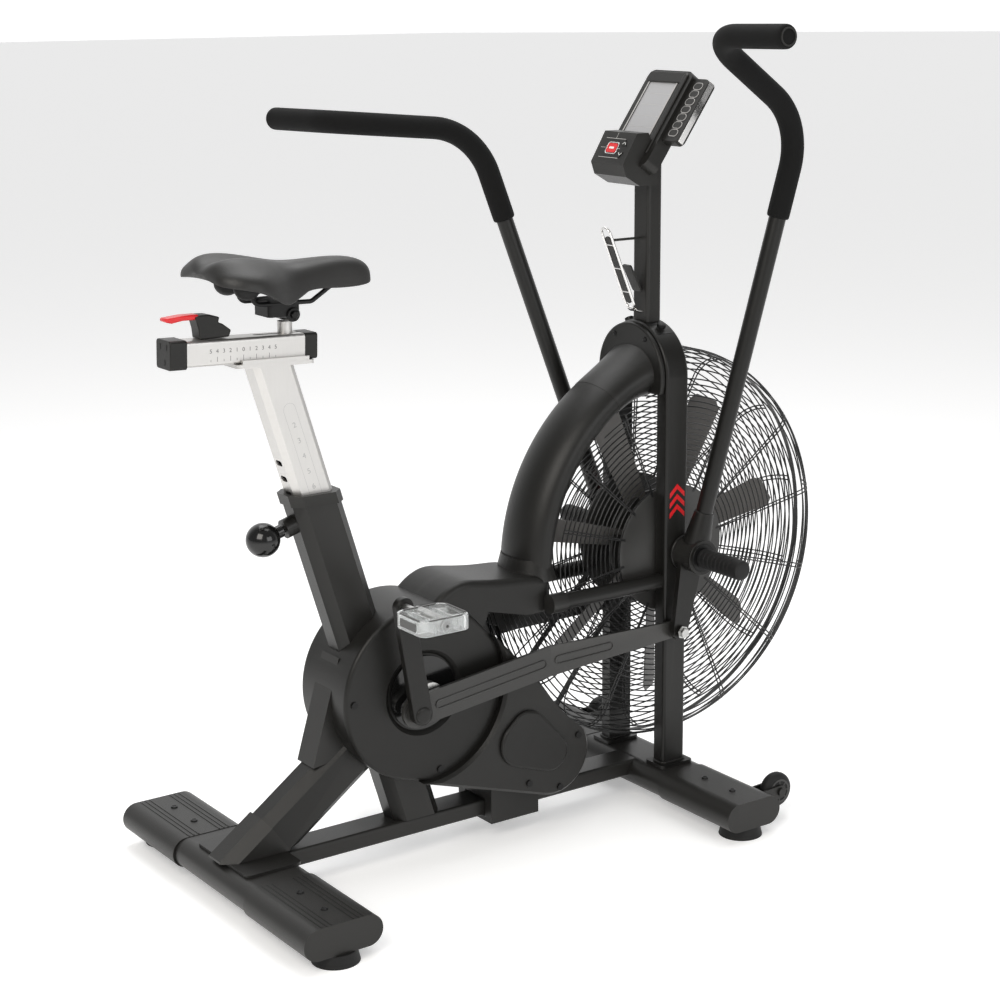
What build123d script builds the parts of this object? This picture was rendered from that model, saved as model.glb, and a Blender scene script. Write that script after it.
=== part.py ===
from build123d import *
import os
from math import acos, atan2, cos, degrees, hypot, radians, sin

# Air bike: a fan-braked exercise bike with swinging handles.
# Millimetres. +X runs forward to the fan, +Y to the rider's left, +Z up. The origin is on
# the floor under the middle of the bike's bounding box.

os.makedirs("parts", exist_ok=True)

# Driving dimensions
REAR_X = -513.22
FRONT_X = REAR_X + 775
FAN = (REAR_X + 790, 440.0)
CRANK = (REAR_X + 286, 289.0)
JACK = (REAR_X + 527, 138.0)
STABILISER_HALF = 295.0
STABILISER_HEIGHT = 47.0
STABILISER_Z = 42.5
REAR_WIDTH = 124.0
FRONT_WIDTH = 105.0
RAIL_TOP = 65.5
WALL = 3.0
SEAT_LEAN = 17.05
SEAT_FOOT = (REAR_X + 287.5, 108.0)
SEAT_TUBE = (80.0, 60.0, 15.0)
SEAT_TUBE_SPAN = (-70.0, 540.0)
SEAT_TUBE_TOP = 605.0
PULL_PIN_HEIGHT = 500.0
POST = (64.0, 46.0, 9.0)
BRACE_SLOPE = 36.0
BRACE_FOOT = (REAR_X + 74, 112.0)
BRACE_SPAN = (-130.0, 190.0)
SLIDER_DROP = 2.0
SLIDER_MIDDLE = (REAR_X + 69, 848.0)
CRANK_THROW = 36.0
CRANK_PIN_ANGLE = 208.0
PEDAL_RADIUS = 172.0
PEDAL_ANGLE = 111.0
CONROD_LENGTH = 512.5
LEVER_ARM = (8.0, -131.0)
CAGE_RADIUS = 335.0
BLADE_RADIUS = 265.0
HUB_DISC_RADIUS = 105.0
COVER_HALF = 68.0
SHROUD_CENTRE = (REAR_X + 854, 431.0)
SHROUD_RADIUS = 323.5
CRANK_PULLEY, JACK_SMALL, JACK_LARGE, FAN_PULLEY = 100.0, 20.0, 56.0, 35.0
RUN = 0.06
GAP = 0.3


def keep(piece, name):
    """Labels a finished sub-part and writes its STEP file."""
    piece.part.label = name
    export_step(piece.part, f"parts/{name}.step")


def side(y):
    """A plane at this Y whose local axes are X and Z; extrusions go towards -Y."""
    return Plane.XZ.offset(-y)


def bevelled(width, depth, bevel):
    """Corner points of a rectangle with 45 degree bevels."""
    x, y = width / 2, depth / 2
    return [
        (x, y - bevel), (x - bevel, y), (bevel - x, y), (-x, y - bevel),
        (-x, bevel - y), (bevel - x, -y), (x - bevel, -y), (x, bevel - y),
    ]


def bevelled_tube(plane, size, start, end, wall, grow=0.0):
    """A bevelled tube along the plane's normal; wall 0 makes it solid."""
    width, depth, bevel = size
    with BuildPart() as tube:
        with BuildSketch(plane.offset(start)):
            Polygon(*bevelled(width + grow, depth + grow, bevel))
            if wall:
                inner = (width + grow - 2 * wall, depth + grow - 2 * wall, bevel - wall / 2)
                Polygon(*bevelled(*inner), mode=Mode.SUBTRACT)
        extrude(amount=end - start)
    return tube.part


def flat_oval(x, width, height, start, end):
    """A solid flat oval bar along Y from start to end."""
    with BuildPart() as bar:
        with BuildSketch(side(end)):
            with Locations((x, STABILISER_Z)):
                SlotOverall(width, height)
        extrude(amount=end - start)
    return bar.part


def rod(y_from, y_to, centre, radius, bore=0.0):
    """A round bar or sleeve along Y."""
    with BuildPart() as bar:
        with BuildSketch(side(max(y_from, y_to))):
            with Locations(centre):
                Circle(radius)
                if bore:
                    Circle(bore, mode=Mode.SUBTRACT)
        extrude(amount=abs(y_to - y_from))
    return bar.part


def plate(y_from, y_to, *circles):
    """A plate across Y whose outline is the hull of some (x, z, radius) circles."""
    with BuildPart() as bar:
        with BuildSketch(side(max(y_from, y_to))):
            for x, z, radius in circles:
                with Locations((x, z)):
                    Circle(radius)
            make_hull()
        extrude(amount=abs(y_to - y_from))
    return bar.part


def polar(centre, radius, angle):
    """The point at a radius and an angle from +X towards +Z."""
    return (centre[0] + radius * cos(radians(angle)), centre[1] + radius * sin(radians(angle)))


# Derived places
lean = radians(SEAT_LEAN)
seat_plane = Plane(
    origin=(SEAT_FOOT[0], 0, SEAT_FOOT[1]),
    x_dir=(cos(lean), 0, sin(lean)),
    z_dir=(-sin(lean), 0, cos(lean)),
)
slope = radians(BRACE_SLOPE)
brace_plane = Plane(
    origin=(BRACE_FOOT[0], 0, BRACE_FOOT[1]),
    x_dir=(sin(slope), 0, -cos(slope)),
    z_dir=(cos(slope), 0, sin(slope)),
)
drop = radians(SLIDER_DROP)
slider_plane = Plane(
    origin=(SLIDER_MIDDLE[0], 0, SLIDER_MIDDLE[1]),
    x_dir=(cos(drop), 0, -sin(drop)),
    z_dir=(sin(drop), 0, cos(drop)),
)
rear_pin = {sign: polar(CRANK, -sign * CRANK_THROW, CRANK_PIN_ANGLE) for sign in (-1, 1)}
pedal_axis = {sign: polar(CRANK, -sign * PEDAL_RADIUS, PEDAL_ANGLE) for sign in (-1, 1)}


def lever_pin(pin):
    """Where the connecting rod from a crank pin meets the handle's lower arm."""
    arm = hypot(*LEVER_ARM)
    reach = hypot(FAN[0] - pin[0], FAN[1] - pin[1])
    bearing = degrees(atan2(FAN[1] - pin[1], FAN[0] - pin[0]))
    opening = degrees(acos((reach**2 + CONROD_LENGTH**2 - arm**2) / (2 * reach * CONROD_LENGTH)))
    return polar(pin, CONROD_LENGTH, bearing - opening)


def swing_angle(pin):
    """The handle's angle about +Y from its middle position, in degrees, top forward positive."""
    x, z = lever_pin(pin)
    free = degrees(atan2(LEVER_ARM[1], LEVER_ARM[0]))
    return free - degrees(atan2(z - FAN[1], x - FAN[0]))


def swung(point, angle):
    """A point given from the handle's pivot, turned by an angle about +Y."""
    x, y, z = point
    turn = radians(angle)
    return (FAN[0] + x * cos(turn) + z * sin(turn), y, FAN[1] - x * sin(turn) + z * cos(turn))


def pull_pin_plane(x):
    """A plane square to the pull pin, x from the seat tube's middle; extrusions go rearwards."""
    return Plane(origin=seat_plane.from_local_coords((x, 0, PULL_PIN_HEIGHT)), z_dir=-seat_plane.x_dir)


# Base: two flat-oval stabilisers joined by a box rail, with end covers and rubber feet.
stabilisers = {"rear": (REAR_X, REAR_WIDTH), "front": (FRONT_X, FRONT_WIDTH)}
for place, (x, width) in stabilisers.items():
    with BuildPart() as stabiliser:
        add(flat_oval(x, width, STABILISER_HEIGHT, WALL - STABILISER_HALF, STABILISER_HALF - WALL))
        inner = (x, width - 2 * WALL, STABILISER_HEIGHT - 2 * WALL, -STABILISER_HALF, STABILISER_HALF)
        add(flat_oval(*inner), mode=Mode.SUBTRACT)
    keep(stabiliser, f"{place}_stabiliser")

COVER_START = 115.0
SLEEVE_GROW = 7.0
with BuildPart() as end_covers:
    for x, width in stabilisers.values():
        for sign in (-1, 1):
            reach = sorted((sign * COVER_START, sign * STABILISER_HALF))
            hollow = sorted((sign * (COVER_START - 1), sign * (STABILISER_HALF - WALL + 0.1)))
            with BuildPart(mode=Mode.PRIVATE) as sleeve:
                add(flat_oval(x, width + SLEEVE_GROW, STABILISER_HEIGHT + 1.6, *reach))
                add(flat_oval(x, width + 2 * GAP, STABILISER_HEIGHT + 2 * GAP, *hollow), mode=Mode.SUBTRACT)
            add(sleeve.part)
keep(end_covers, "stabiliser_end_covers")

FOOT_RADIUS = 36.0
FOOT_HEIGHT = STABILISER_Z - STABILISER_HEIGHT / 2 - 0.8
FOOT_TAPER = 14
REAR_FOOT_Y, FRONT_FOOT_Y = 270.0, 262.0
with BuildPart() as feet:
    with BuildSketch(Plane.XY):
        with Locations((REAR_X, REAR_FOOT_Y), (REAR_X, -REAR_FOOT_Y)):
            Circle(FOOT_RADIUS)
        with Locations((FRONT_X, FRONT_FOOT_Y), (FRONT_X, -FRONT_FOOT_Y)):
            Circle(FOOT_RADIUS)
    extrude(amount=FOOT_HEIGHT, taper=FOOT_TAPER)
keep(feet, "rubber_feet")

rear_bar = flat_oval(REAR_X, REAR_WIDTH, STABILISER_HEIGHT, -STABILISER_HALF, STABILISER_HALF)
front_bar = flat_oval(FRONT_X, FRONT_WIDTH, STABILISER_HEIGHT, -STABILISER_HALF, STABILISER_HALF)
RAIL_HEIGHT = 27.5
with BuildPart() as base_rail:
    with BuildSketch(Plane.YZ.offset(REAR_X + 42)):
        with Locations((0, RAIL_TOP - RAIL_HEIGHT / 2)):
            RectangleRounded(55, RAIL_HEIGHT, 4)
            RectangleRounded(55 - 2 * WALL, RAIL_HEIGHT - 2 * WALL, 2, mode=Mode.SUBTRACT)
    extrude(amount=FRONT_X - REAR_X - 76)
    add(rear_bar, mode=Mode.SUBTRACT)
    add(front_bar, mode=Mode.SUBTRACT)
keep(base_rail, "base_rail")

# Seat tube, rear brace with its gusset and base plate, and the cover on the brace's foot.
with BuildPart() as seat_tube:
    add(bevelled_tube(seat_plane, SEAT_TUBE, *SEAT_TUBE_SPAN, WALL))
    split(bisect_by=Plane.XY.offset(RAIL_TOP), keep=Keep.TOP)
    split(bisect_by=Plane.XY.offset(SEAT_TUBE_TOP), keep=Keep.BOTTOM)
    # Threaded boss and hole for the pull pin, square to the tube's rear face.
    with BuildSketch(pull_pin_plane(-37.5)):
        Circle(15)
    extrude(amount=20.5)
    with BuildSketch(pull_pin_plane(-30)):
        Circle(5 + RUN)
    extrude(amount=40, mode=Mode.SUBTRACT)
keep(seat_tube, "seat_tube")

seat_tube_solid = bevelled_tube(seat_plane, SEAT_TUBE, *SEAT_TUBE_SPAN, 0)
brace_solid = bevelled_tube(brace_plane, SEAT_TUBE, *BRACE_SPAN, 0)
BASE_PLATE_TOP = 71.0
with BuildPart() as brace_tube:
    add(bevelled_tube(brace_plane, SEAT_TUBE, *BRACE_SPAN, WALL))
    split(bisect_by=Plane.XY.offset(BASE_PLATE_TOP), keep=Keep.TOP)
    split(bisect_by=Plane.YZ.offset(REAR_X - 40), keep=Keep.TOP)
    add(seat_tube_solid, mode=Mode.SUBTRACT)
with BuildPart() as gusset_block:
    with BuildSketch(Plane.XZ):
        with BuildLine():
            corners = [(160, 359), (110, 190), (190, 200), (225, 300)]
            Polyline(*[(REAR_X + x, z) for x, z in corners], close=True)
        make_face()
    extrude(amount=25, both=True)
with BuildPart() as gusset:
    add(gusset_block.part)
    add(brace_solid, mode=Mode.SUBTRACT)
    add(seat_tube_solid, mode=Mode.SUBTRACT)
with BuildPart() as base_plate:
    with BuildSketch(Plane.XY.offset(STABILISER_Z + STABILISER_HEIGHT / 2)):
        with Locations((REAR_X + 7.5, 0)):
            RectangleRounded(95, 164, 10)
    extrude(amount=BASE_PLATE_TOP - STABILISER_Z - STABILISER_HEIGHT / 2)
with BuildPart() as rear_brace:
    add(brace_tube.part)
    add(gusset.part)
    add(base_plate.part)
keep(rear_brace, "rear_brace")

with BuildPart() as brace_cover:
    add(bevelled_tube(brace_plane, (88, 68, 17), -130, -34, 0))
    split(bisect_by=Plane.XY.offset(BASE_PLATE_TOP + 0.2), keep=Keep.TOP)
    split(bisect_by=Plane.YZ.offset(REAR_X - 52), keep=Keep.TOP)
    with BuildPart(mode=Mode.PRIVATE) as brace_room:
        add(bevelled_tube(brace_plane, SEAT_TUBE, -140, 0, 0, grow=0.6))
        split(bisect_by=Plane.YZ.offset(REAR_X - 41), keep=Keep.TOP)
    add(brace_room.part, mode=Mode.SUBTRACT)
keep(brace_cover, "brace_cover")

# Seat post: bevelled aluminium tube with pin slots, carrying the slider's channel.
POST_FOOT = 326.0
HEAD_DROP = 25.0
with BuildPart() as seat_post:
    add(bevelled_tube(seat_plane, POST, POST_FOOT, 800, WALL))
    for height in range(365, 625, 26):
        rear_face = seat_plane.from_local_coords((-POST[0] / 2 - 1, 0, height))
        with BuildSketch(Plane(origin=rear_face, x_dir=(0, 1, 0), z_dir=seat_plane.x_dir)):
            SlotOverall(18, 9)
        extrude(amount=WALL + 2, mode=Mode.SUBTRACT)
    split(bisect_by=slider_plane.offset(-HEAD_DROP), keep=Keep.BOTTOM)
    with BuildSketch(slider_plane.offset(-HEAD_DROP)):
        RectangleRounded(128, 52, 5)
    extrude(amount=HEAD_DROP - 19 - GAP)
    with BuildSketch(slider_plane.offset(-19 - GAP)):
        with Locations((0, 23.2), (0, -23.2)):
            Rectangle(110, 5)
    extrude(amount=6)
keep(seat_post, "seat_post")

with BuildPart() as post_bushing:
    tube_inside = (SEAT_TUBE[0] - 2 * WALL - 0.1, SEAT_TUBE[1] - 2 * WALL - 0.1, SEAT_TUBE[2] - WALL / 2)
    post_room = (POST[0] + 0.16, POST[1] + 0.16, POST[2])
    add(bevelled_tube(seat_plane, tube_inside, 440, 535, 0))
    split(bisect_by=Plane.XY.offset(SEAT_TUBE_TOP), keep=Keep.BOTTOM)
    with BuildPart(mode=Mode.PRIVATE) as collar:
        add(bevelled_tube(seat_plane, (86, 66, 16), 480, 570, 0))
        split(bisect_by=Plane.XY.offset(SEAT_TUBE_TOP), keep=Keep.TOP)
        split(bisect_by=Plane.XY.offset(SEAT_TUBE_TOP + 18), keep=Keep.BOTTOM)
    add(collar.part)
    add(bevelled_tube(seat_plane, post_room, 420, 600, 0), mode=Mode.SUBTRACT)
    with BuildSketch(pull_pin_plane(-30)):
        Circle(5.3)
    extrude(amount=20, mode=Mode.SUBTRACT)
keep(post_bushing, "post_bushing")

# Pull knob: ball, stem and pin along the normal of the tube's rear face.
with BuildPart() as pull_knob:
    with Locations(pull_pin_plane(-95)):
        Sphere(26)
    with BuildSketch(pull_pin_plane(-62)):
        Circle(10)
    extrude(amount=20)
    with BuildSketch(pull_pin_plane(-32.8)):
        Circle(5)
    extrude(amount=40)
keep(pull_knob, "pull_knob")

# Slider bar with its seat pin, the release lever, the clamp with its rails, and the saddle.
BAR_LENGTH, BAR_WIDTH, BAR_HEIGHT = 238.0, 40.0, 38.0
SEAT_PIN = (REAR_X + 98, 884.0)
CLAMP_BOLT = (REAR_X + 99, 896.0)
BAR_START = -167.0
bar_origin = slider_plane.from_local_coords((BAR_START, 0, 0))
with BuildPart() as slider_bar:
    with BuildSketch(Plane(origin=bar_origin, x_dir=(0, 1, 0), z_dir=slider_plane.x_dir)):
        RectangleRounded(BAR_WIDTH, BAR_HEIGHT, 5)
    extrude(amount=BAR_LENGTH)
    with BuildSketch(Plane.XY.offset(SLIDER_MIDDLE[1] + 10)):
        with Locations((SEAT_PIN[0], 0)):
            Circle(11)
    extrude(amount=SEAT_PIN[1] - SLIDER_MIDDLE[1] - 10)
keep(slider_bar, "slider_bar")

LEVER_HUB_X = REAR_X - 19
with BuildPart() as release_lever:
    with BuildSketch(Plane.XY.offset(871.0)):
        with Locations((LEVER_HUB_X, 0)):
            Circle(22)
    extrude(amount=29)
    with BuildSketch(Plane.XY.offset(900.0)):
        with Locations((LEVER_HUB_X - 33, 0)):
            SlotOverall(92, 20)
    extrude(amount=6)
keep(release_lever, "release_lever")

with BuildPart() as saddle:
    stations = [
        (-34, 62, 10, 963), (-10, 90, 20, 965), (35, 92, 27, 957), (85, 68, 28, 948),
        (130, 42, 24, 950), (185, 28, 19, 953), (224, 21, 14, 949), (237, 12, 8, 946),
    ]
    for x, half_width, half_height, z in stations:
        with BuildSketch(Plane.YZ.offset(REAR_X + x)):
            with Locations((0, z)):
                Ellipse(half_width, half_height)
    loft()
keep(saddle, "saddle")

RAIL_SPREAD = 21.0
with BuildPart() as saddle_clamp:
    add(rod(-24, 24, CLAMP_BOLT, 11))
    with BuildSketch(Plane.XY.offset(CLAMP_BOLT[1] - 2)):
        with Locations((CLAMP_BOLT[0] - 13, 0)):
            RectangleRounded(52, 48, 6)
    extrude(amount=25)
    for y in (-RAIL_SPREAD, RAIL_SPREAD):
        points = [(34, 950), (36, 915), (132, 912), (168, 934), (172, 950)]
        with BuildLine():
            FilletPolyline(*[(REAR_X + x, y, z) for x, z in points], radius=12)
        with BuildSketch(Plane(origin=(REAR_X + 34, y, 950), z_dir=(2, 0, -35))):
            Circle(3.5)
        sweep()
    add(saddle.part, mode=Mode.SUBTRACT)
keep(saddle_clamp, "saddle_clamp")

# Bearing plates beside the seat tube and on the rail, and the bearings they hold.
CRANK_PLATE = (30.4, 42.0)
JACK_PLATE = (22.0, 30.0)
SHAFT_RADIUS = 10.0
JACK_SHAFT_RADIUS = 8.0
with BuildPart() as bearing_plates:
    for sign in (-1, 1):
        crank_span = (sign * CRANK_PLATE[0], sign * CRANK_PLATE[1])
        jack_span = (sign * JACK_PLATE[0], sign * JACK_PLATE[1])
        add(plate(*crank_span, (*CRANK, 27), (CRANK[0] - 54, CRANK[1], 30)))
        add(rod(*crank_span, CRANK, 21), mode=Mode.SUBTRACT)
        feet_ends = [(JACK[0] - 30, RAIL_TOP + 5, 5), (JACK[0] + 30, RAIL_TOP + 5, 5)]
        add(plate(*jack_span, (*JACK, 26), *feet_ends))
        add(rod(*jack_span, JACK, 17.5), mode=Mode.SUBTRACT)
keep(bearing_plates, "bearing_plates")

with BuildPart() as shaft_bearings:
    for sign in (-1, 1):
        crank_span = (sign * (CRANK_PLATE[0] + 0.5), sign * (CRANK_PLATE[1] - 0.5))
        jack_span = (sign * (JACK_PLATE[0] + 0.5), sign * (JACK_PLATE[1] - 0.5))
        add(rod(*crank_span, CRANK, 20.98, SHAFT_RADIUS + RUN))
        add(rod(*jack_span, JACK, 17.48, JACK_SHAFT_RADIUS + RUN))
keep(shaft_bearings, "shaft_bearings")

# Drive covers: two mirrored shells round the crank and the jackshaft, with a neck that
# carries the shroud and a raised panel in front of the crank.
REAR_LOBE, FRONT_LOBE, NECK_HALF, PANEL_RAISE = 142.0, 70.0, 62.0, 16.0
NECK_CROWN = [(300, 404), (330, 438), (365, 452), (400, 449), (470, 440), (530, 430), (553, 410)]
NECK_UNDERSIDE = [(553, 388), (536, 377), (489, 377), (413, 396), (389, 330)]
NECK_ROOM = [
    (310, 404), (360, 446), (400, 444), (530, 426), (548, 408), (548, 390), (536, 381), (489, 381),
    (413, 400), (392, 340),
]
NECK_NOSE, NECK_EDGE, NECK_WALL = 42.0, 11.0, 5.0


def drive_outline(inset):
    """The hull of the two lobes, drawn into the sketch in hand."""
    with Locations(CRANK):
        Circle(REAR_LOBE - inset)
    with Locations(JACK):
        Circle(FRONT_LOBE - inset)
    make_hull()


# The neck: a curved crown over a flat underside, with a rounded nose and rounded crown edges.
with BuildPart() as neck_outside:
    with BuildSketch(Plane.XZ):
        with BuildLine():
            crown = Spline(*[(REAR_X + x, z) for x, z in NECK_CROWN])
            Polyline(crown @ 1, *[(REAR_X + x, z) for x, z in NECK_UNDERSIDE], crown @ 0)
        make_face()
    extrude(amount=NECK_HALF, both=True)
    fillet(neck_outside.edges().filter_by(Axis.Z).sort_by(Axis.X)[-2:], NECK_NOSE)
    crown_face = neck_outside.faces().filter_by(GeomType.EXTRUSION).sort_by(Axis.Z)[-1]
    fillet(crown_face.edges().filter_by(lambda edge: edge.length > 20), NECK_EDGE)
with BuildPart() as neck_inside:
    with BuildSketch(Plane.XZ):
        with BuildLine():
            Polyline(*[(REAR_X + x, z) for x, z in NECK_ROOM], close=True)
        make_face()
    extrude(amount=NECK_HALF - NECK_WALL, both=True)
    fillet(neck_inside.edges().filter_by(Axis.Z).sort_by(Axis.X)[-2:], NECK_NOSE - NECK_WALL)

BLADE_ROOM_Y = 47.0
with BuildPart() as right_cover:
    with BuildSketch(Plane.XZ):
        drive_outline(0)
    extrude(amount=COVER_HALF)
    fillet(right_cover.faces().sort_by(Axis.Y)[0].edges(), 7)
    with BuildSketch(side(-COVER_HALF + 8)):
        drive_outline(0)
        with Locations(CRANK):
            Circle(REAR_LOBE + 4, mode=Mode.SUBTRACT)
    extrude(amount=PANEL_RAISE + 8)
    chamfer(right_cover.faces().sort_by(Axis.Y)[0].edges(), 5)
    add(rod(-100, 100, FAN, CAGE_RADIUS + 3), mode=Mode.SUBTRACT)
    add(neck_outside.part)
    with BuildSketch(Plane.XY.offset(29)):
        with Locations((REAR_X + 472, 0)):
            Rectangle(94, 96)
    extrude(amount=60)
    with BuildSketch(Plane.XZ):
        drive_outline(WALL)
    extrude(amount=COVER_HALF - WALL, mode=Mode.SUBTRACT)
    with BuildSketch(side(-COVER_HALF + 9)):
        drive_outline(WALL)
        with Locations(CRANK):
            Circle(REAR_LOBE + 4 + WALL, mode=Mode.SUBTRACT)
    extrude(amount=PANEL_RAISE + 9 - WALL, mode=Mode.SUBTRACT)
    add(neck_inside.part, mode=Mode.SUBTRACT)
    add(rod(-BLADE_ROOM_Y, BLADE_ROOM_Y, FAN, BLADE_RADIUS + 6), mode=Mode.SUBTRACT)
    # Recess round the crank, with a floor behind it.
    with BuildSketch(side(-57)):
        with Locations(CRANK):
            Circle(76)
    extrude(amount=COVER_HALF - 57 - 1)
    with BuildSketch(side(-62)):
        with Locations(CRANK):
            Circle(62)
    extrude(amount=8, taper=-50, mode=Mode.SUBTRACT)
    add(rod(-40, -80, CRANK, 16), mode=Mode.SUBTRACT)
    # Openings for the tubes and the fan cage.
    add(bevelled_tube(seat_plane, SEAT_TUBE, *SEAT_TUBE_SPAN, 0, grow=1), mode=Mode.SUBTRACT)
    add(bevelled_tube(brace_plane, SEAT_TUBE, *BRACE_SPAN, 0, grow=1), mode=Mode.SUBTRACT)
    add(gusset_block.part, mode=Mode.SUBTRACT)
    add(bearing_plates.part, mode=Mode.SUBTRACT)
    with BuildSketch(Plane.YZ.offset(REAR_X)):
        with Locations((0, 52)):
            Rectangle(57, 29)
    extrude(amount=775, mode=Mode.SUBTRACT)
    split(bisect_by=Plane.XZ, keep=Keep.TOP)
keep(right_cover, "right_cover")

FAN_BELT = (39.0, 49.0)
with BuildPart() as left_cover:
    mirror(objects=right_cover.part, about=Plane.XZ)
    belt_room = ((*JACK, JACK_LARGE + 8), (*FAN, FAN_PULLEY + 8))
    add(plate(FAN_BELT[0] - 4, FAN_BELT[1] + 4, *belt_room), mode=Mode.SUBTRACT)
keep(left_cover, "left_cover")

SCREW_PLACES = [(160, 294), (314, 157), (314, 415), (475, 100), (537, 80), (574, 162)]
with BuildPart() as cover_screws:
    for index, (x, z) in enumerate(SCREW_PLACES):
        face = COVER_HALF + (PANEL_RAISE if index > 2 else 0)
        for sign in (-1, 1):
            add(rod(sign * (face + 0.1), sign * (face + 2.6), (REAR_X + x, z), 5.5))
keep(cover_screws, "cover_screws")

# Shroud: a curved hollow pillar from the neck to the fork's arch, open towards the fan.
SHROUD_HALF = (33.0, 56.0)
SHROUD_SWEEP = 71.5
SHROUD_FOOT = 425.0
FLARE_GROW, FLARE_HEIGHT, FLARE_TAPER = (11.0, 5.0), 34.0, 14
with BuildPart() as flare:
    with BuildSketch(Plane.XY.offset(SHROUD_FOOT)):
        with Locations((SHROUD_CENTRE[0] - SHROUD_RADIUS, 0)):
            Ellipse(SHROUD_HALF[0] + FLARE_GROW[0], SHROUD_HALF[1] + FLARE_GROW[1])
    extrude(amount=FLARE_HEIGHT, taper=FLARE_TAPER)
with BuildPart() as shroud_tube:
    with BuildSketch(Plane.XY.offset(SHROUD_CENTRE[1])):
        with Locations((SHROUD_CENTRE[0] - SHROUD_RADIUS, 0)):
            Ellipse(*SHROUD_HALF)
            Ellipse(SHROUD_HALF[0] - WALL, SHROUD_HALF[1] - WALL, mode=Mode.SUBTRACT)
        with Locations((SHROUD_CENTRE[0] - SHROUD_RADIUS + 28, 0)):
            Rectangle(40, 2 * 49, mode=Mode.SUBTRACT)
    shroud_axis = Axis((SHROUD_CENTRE[0], 0, SHROUD_CENTRE[1]), (0, 1, 0))
    revolve(axis=shroud_axis, revolution_arc=SHROUD_SWEEP)
    add(flare.part)
    with BuildSketch(Plane.XY.offset(SHROUD_FOOT)):
        with Locations((SHROUD_CENTRE[0] - SHROUD_RADIUS, 0)):
            Ellipse(SHROUD_HALF[0] - WALL, SHROUD_HALF[1] - WALL)
        with Locations((SHROUD_CENTRE[0] - SHROUD_RADIUS + 28, 0)):
            Rectangle(50, 2 * 49)
    extrude(amount=FLARE_HEIGHT, mode=Mode.SUBTRACT)
    add(neck_outside.part, mode=Mode.SUBTRACT)

# Fork: two rectangular legs joined by an arch, with saddle plates on the front stabiliser.
LEG_HALF_X = 23.0
LEG_INNER, LEG_OUTER = 62.0, 87.0
ARCH_Z = 734.5
PLATE_TOP = 72.0
AXLE_RADIUS = 8.5
HANDLE_AXLE_RADIUS = 15.0
with BuildPart() as fork:
    with BuildSketch(Plane.YZ.offset(FRONT_X - LEG_HALF_X)):
        with Locations((0, (ARCH_Z + PLATE_TOP) / 2)):
            Rectangle(2 * LEG_OUTER, ARCH_Z - PLATE_TOP)
        with Locations((0, ARCH_Z)):
            Circle(LEG_OUTER)
        with Locations((0, (ARCH_Z + PLATE_TOP) / 2)):
            Rectangle(2 * LEG_INNER, ARCH_Z - PLATE_TOP, mode=Mode.SUBTRACT)
        with Locations((0, ARCH_Z)):
            Circle(LEG_INNER, mode=Mode.SUBTRACT)
    extrude(amount=2 * LEG_HALF_X)
    leg_middle = (LEG_INNER + LEG_OUTER) / 2
    with BuildSketch(Plane.XY.offset(PLATE_TOP + 10)):
        with Locations((FRONT_X, leg_middle), (FRONT_X, -leg_middle)):
            Rectangle(2 * LEG_HALF_X - 2 * WALL, LEG_OUTER - LEG_INNER - 2 * WALL)
    extrude(amount=ARCH_Z - PLATE_TOP - 14, mode=Mode.SUBTRACT)
    upright_edges = fork.edges().filter_by(Axis.Z)
    fillet(upright_edges.filter_by(lambda edge: abs(edge.center().Y) > LEG_OUTER - 1), 5)
    with BuildSketch(Plane.XY.offset(STABILISER_Z + STABILISER_HEIGHT / 2)):
        with Locations((FRONT_X, leg_middle), (FRONT_X, -leg_middle)):
            RectangleRounded(66, 48, 6)
    extrude(amount=PLATE_TOP - STABILISER_Z - STABILISER_HEIGHT / 2)
    add(rod(-100, 100, FAN, AXLE_RADIUS + 0.02), mode=Mode.SUBTRACT)
keep(fork, "fork")

# The shroud's end plate closes the arch above the cage.
HOOD_RADIUS = 80.0
HOOD_DEPTH = 8.0
HOOD_FOOT = 755.0
with BuildPart() as shroud:
    add(shroud_tube.part)
    with BuildSketch(Plane.YZ.offset(FRONT_X - LEG_HALF_X - HOOD_DEPTH)):
        with Locations((0, ARCH_Z)):
            Circle(HOOD_RADIUS)
        with Locations((0, HOOD_FOOT - HOOD_RADIUS)):
            Rectangle(2 * HOOD_RADIUS, 2 * HOOD_RADIUS, mode=Mode.SUBTRACT)
    extrude(amount=HOOD_DEPTH)
    split(bisect_by=Plane.YZ.offset(FRONT_X - LEG_HALF_X - 0.2), keep=Keep.BOTTOM)
keep(shroud, "shroud")

SIDE_TUBE = (REAR_X + 554, 72.0, 391.0, 13.0)
with BuildPart() as side_tubes:
    for sign in (-1, 1):
        with BuildSketch(Plane.YZ.offset(SIDE_TUBE[0])):
            with Locations((sign * SIDE_TUBE[1], SIDE_TUBE[2])):
                Circle(SIDE_TUBE[3])
                Circle(SIDE_TUBE[3] - 2, mode=Mode.SUBTRACT)
        extrude(amount=FRONT_X - LEG_HALF_X - SIDE_TUBE[0])
        with BuildSketch(Plane.YZ.offset(SIDE_TUBE[0] - 30)):
            with Locations((sign * SIDE_TUBE[1], SIDE_TUBE[2])):
                Circle(SIDE_TUBE[3] + 3)
        extrude(amount=30)
    add(neck_outside.part, mode=Mode.SUBTRACT)
keep(side_tubes, "side_tubes")

# Fan cage: two wire faces round hub discs, and a rim of cross wires, cut back where the
# shroud and the belt pass.
FACE_Y = (53.0, 56.0)
RING_PITCH, WIRE = 23.0, 3.0
SPOKES = 24
SHROUD_ROOM = (96.2, 196.0)
BELT_ROOM = (216.0, 242.0)


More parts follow.
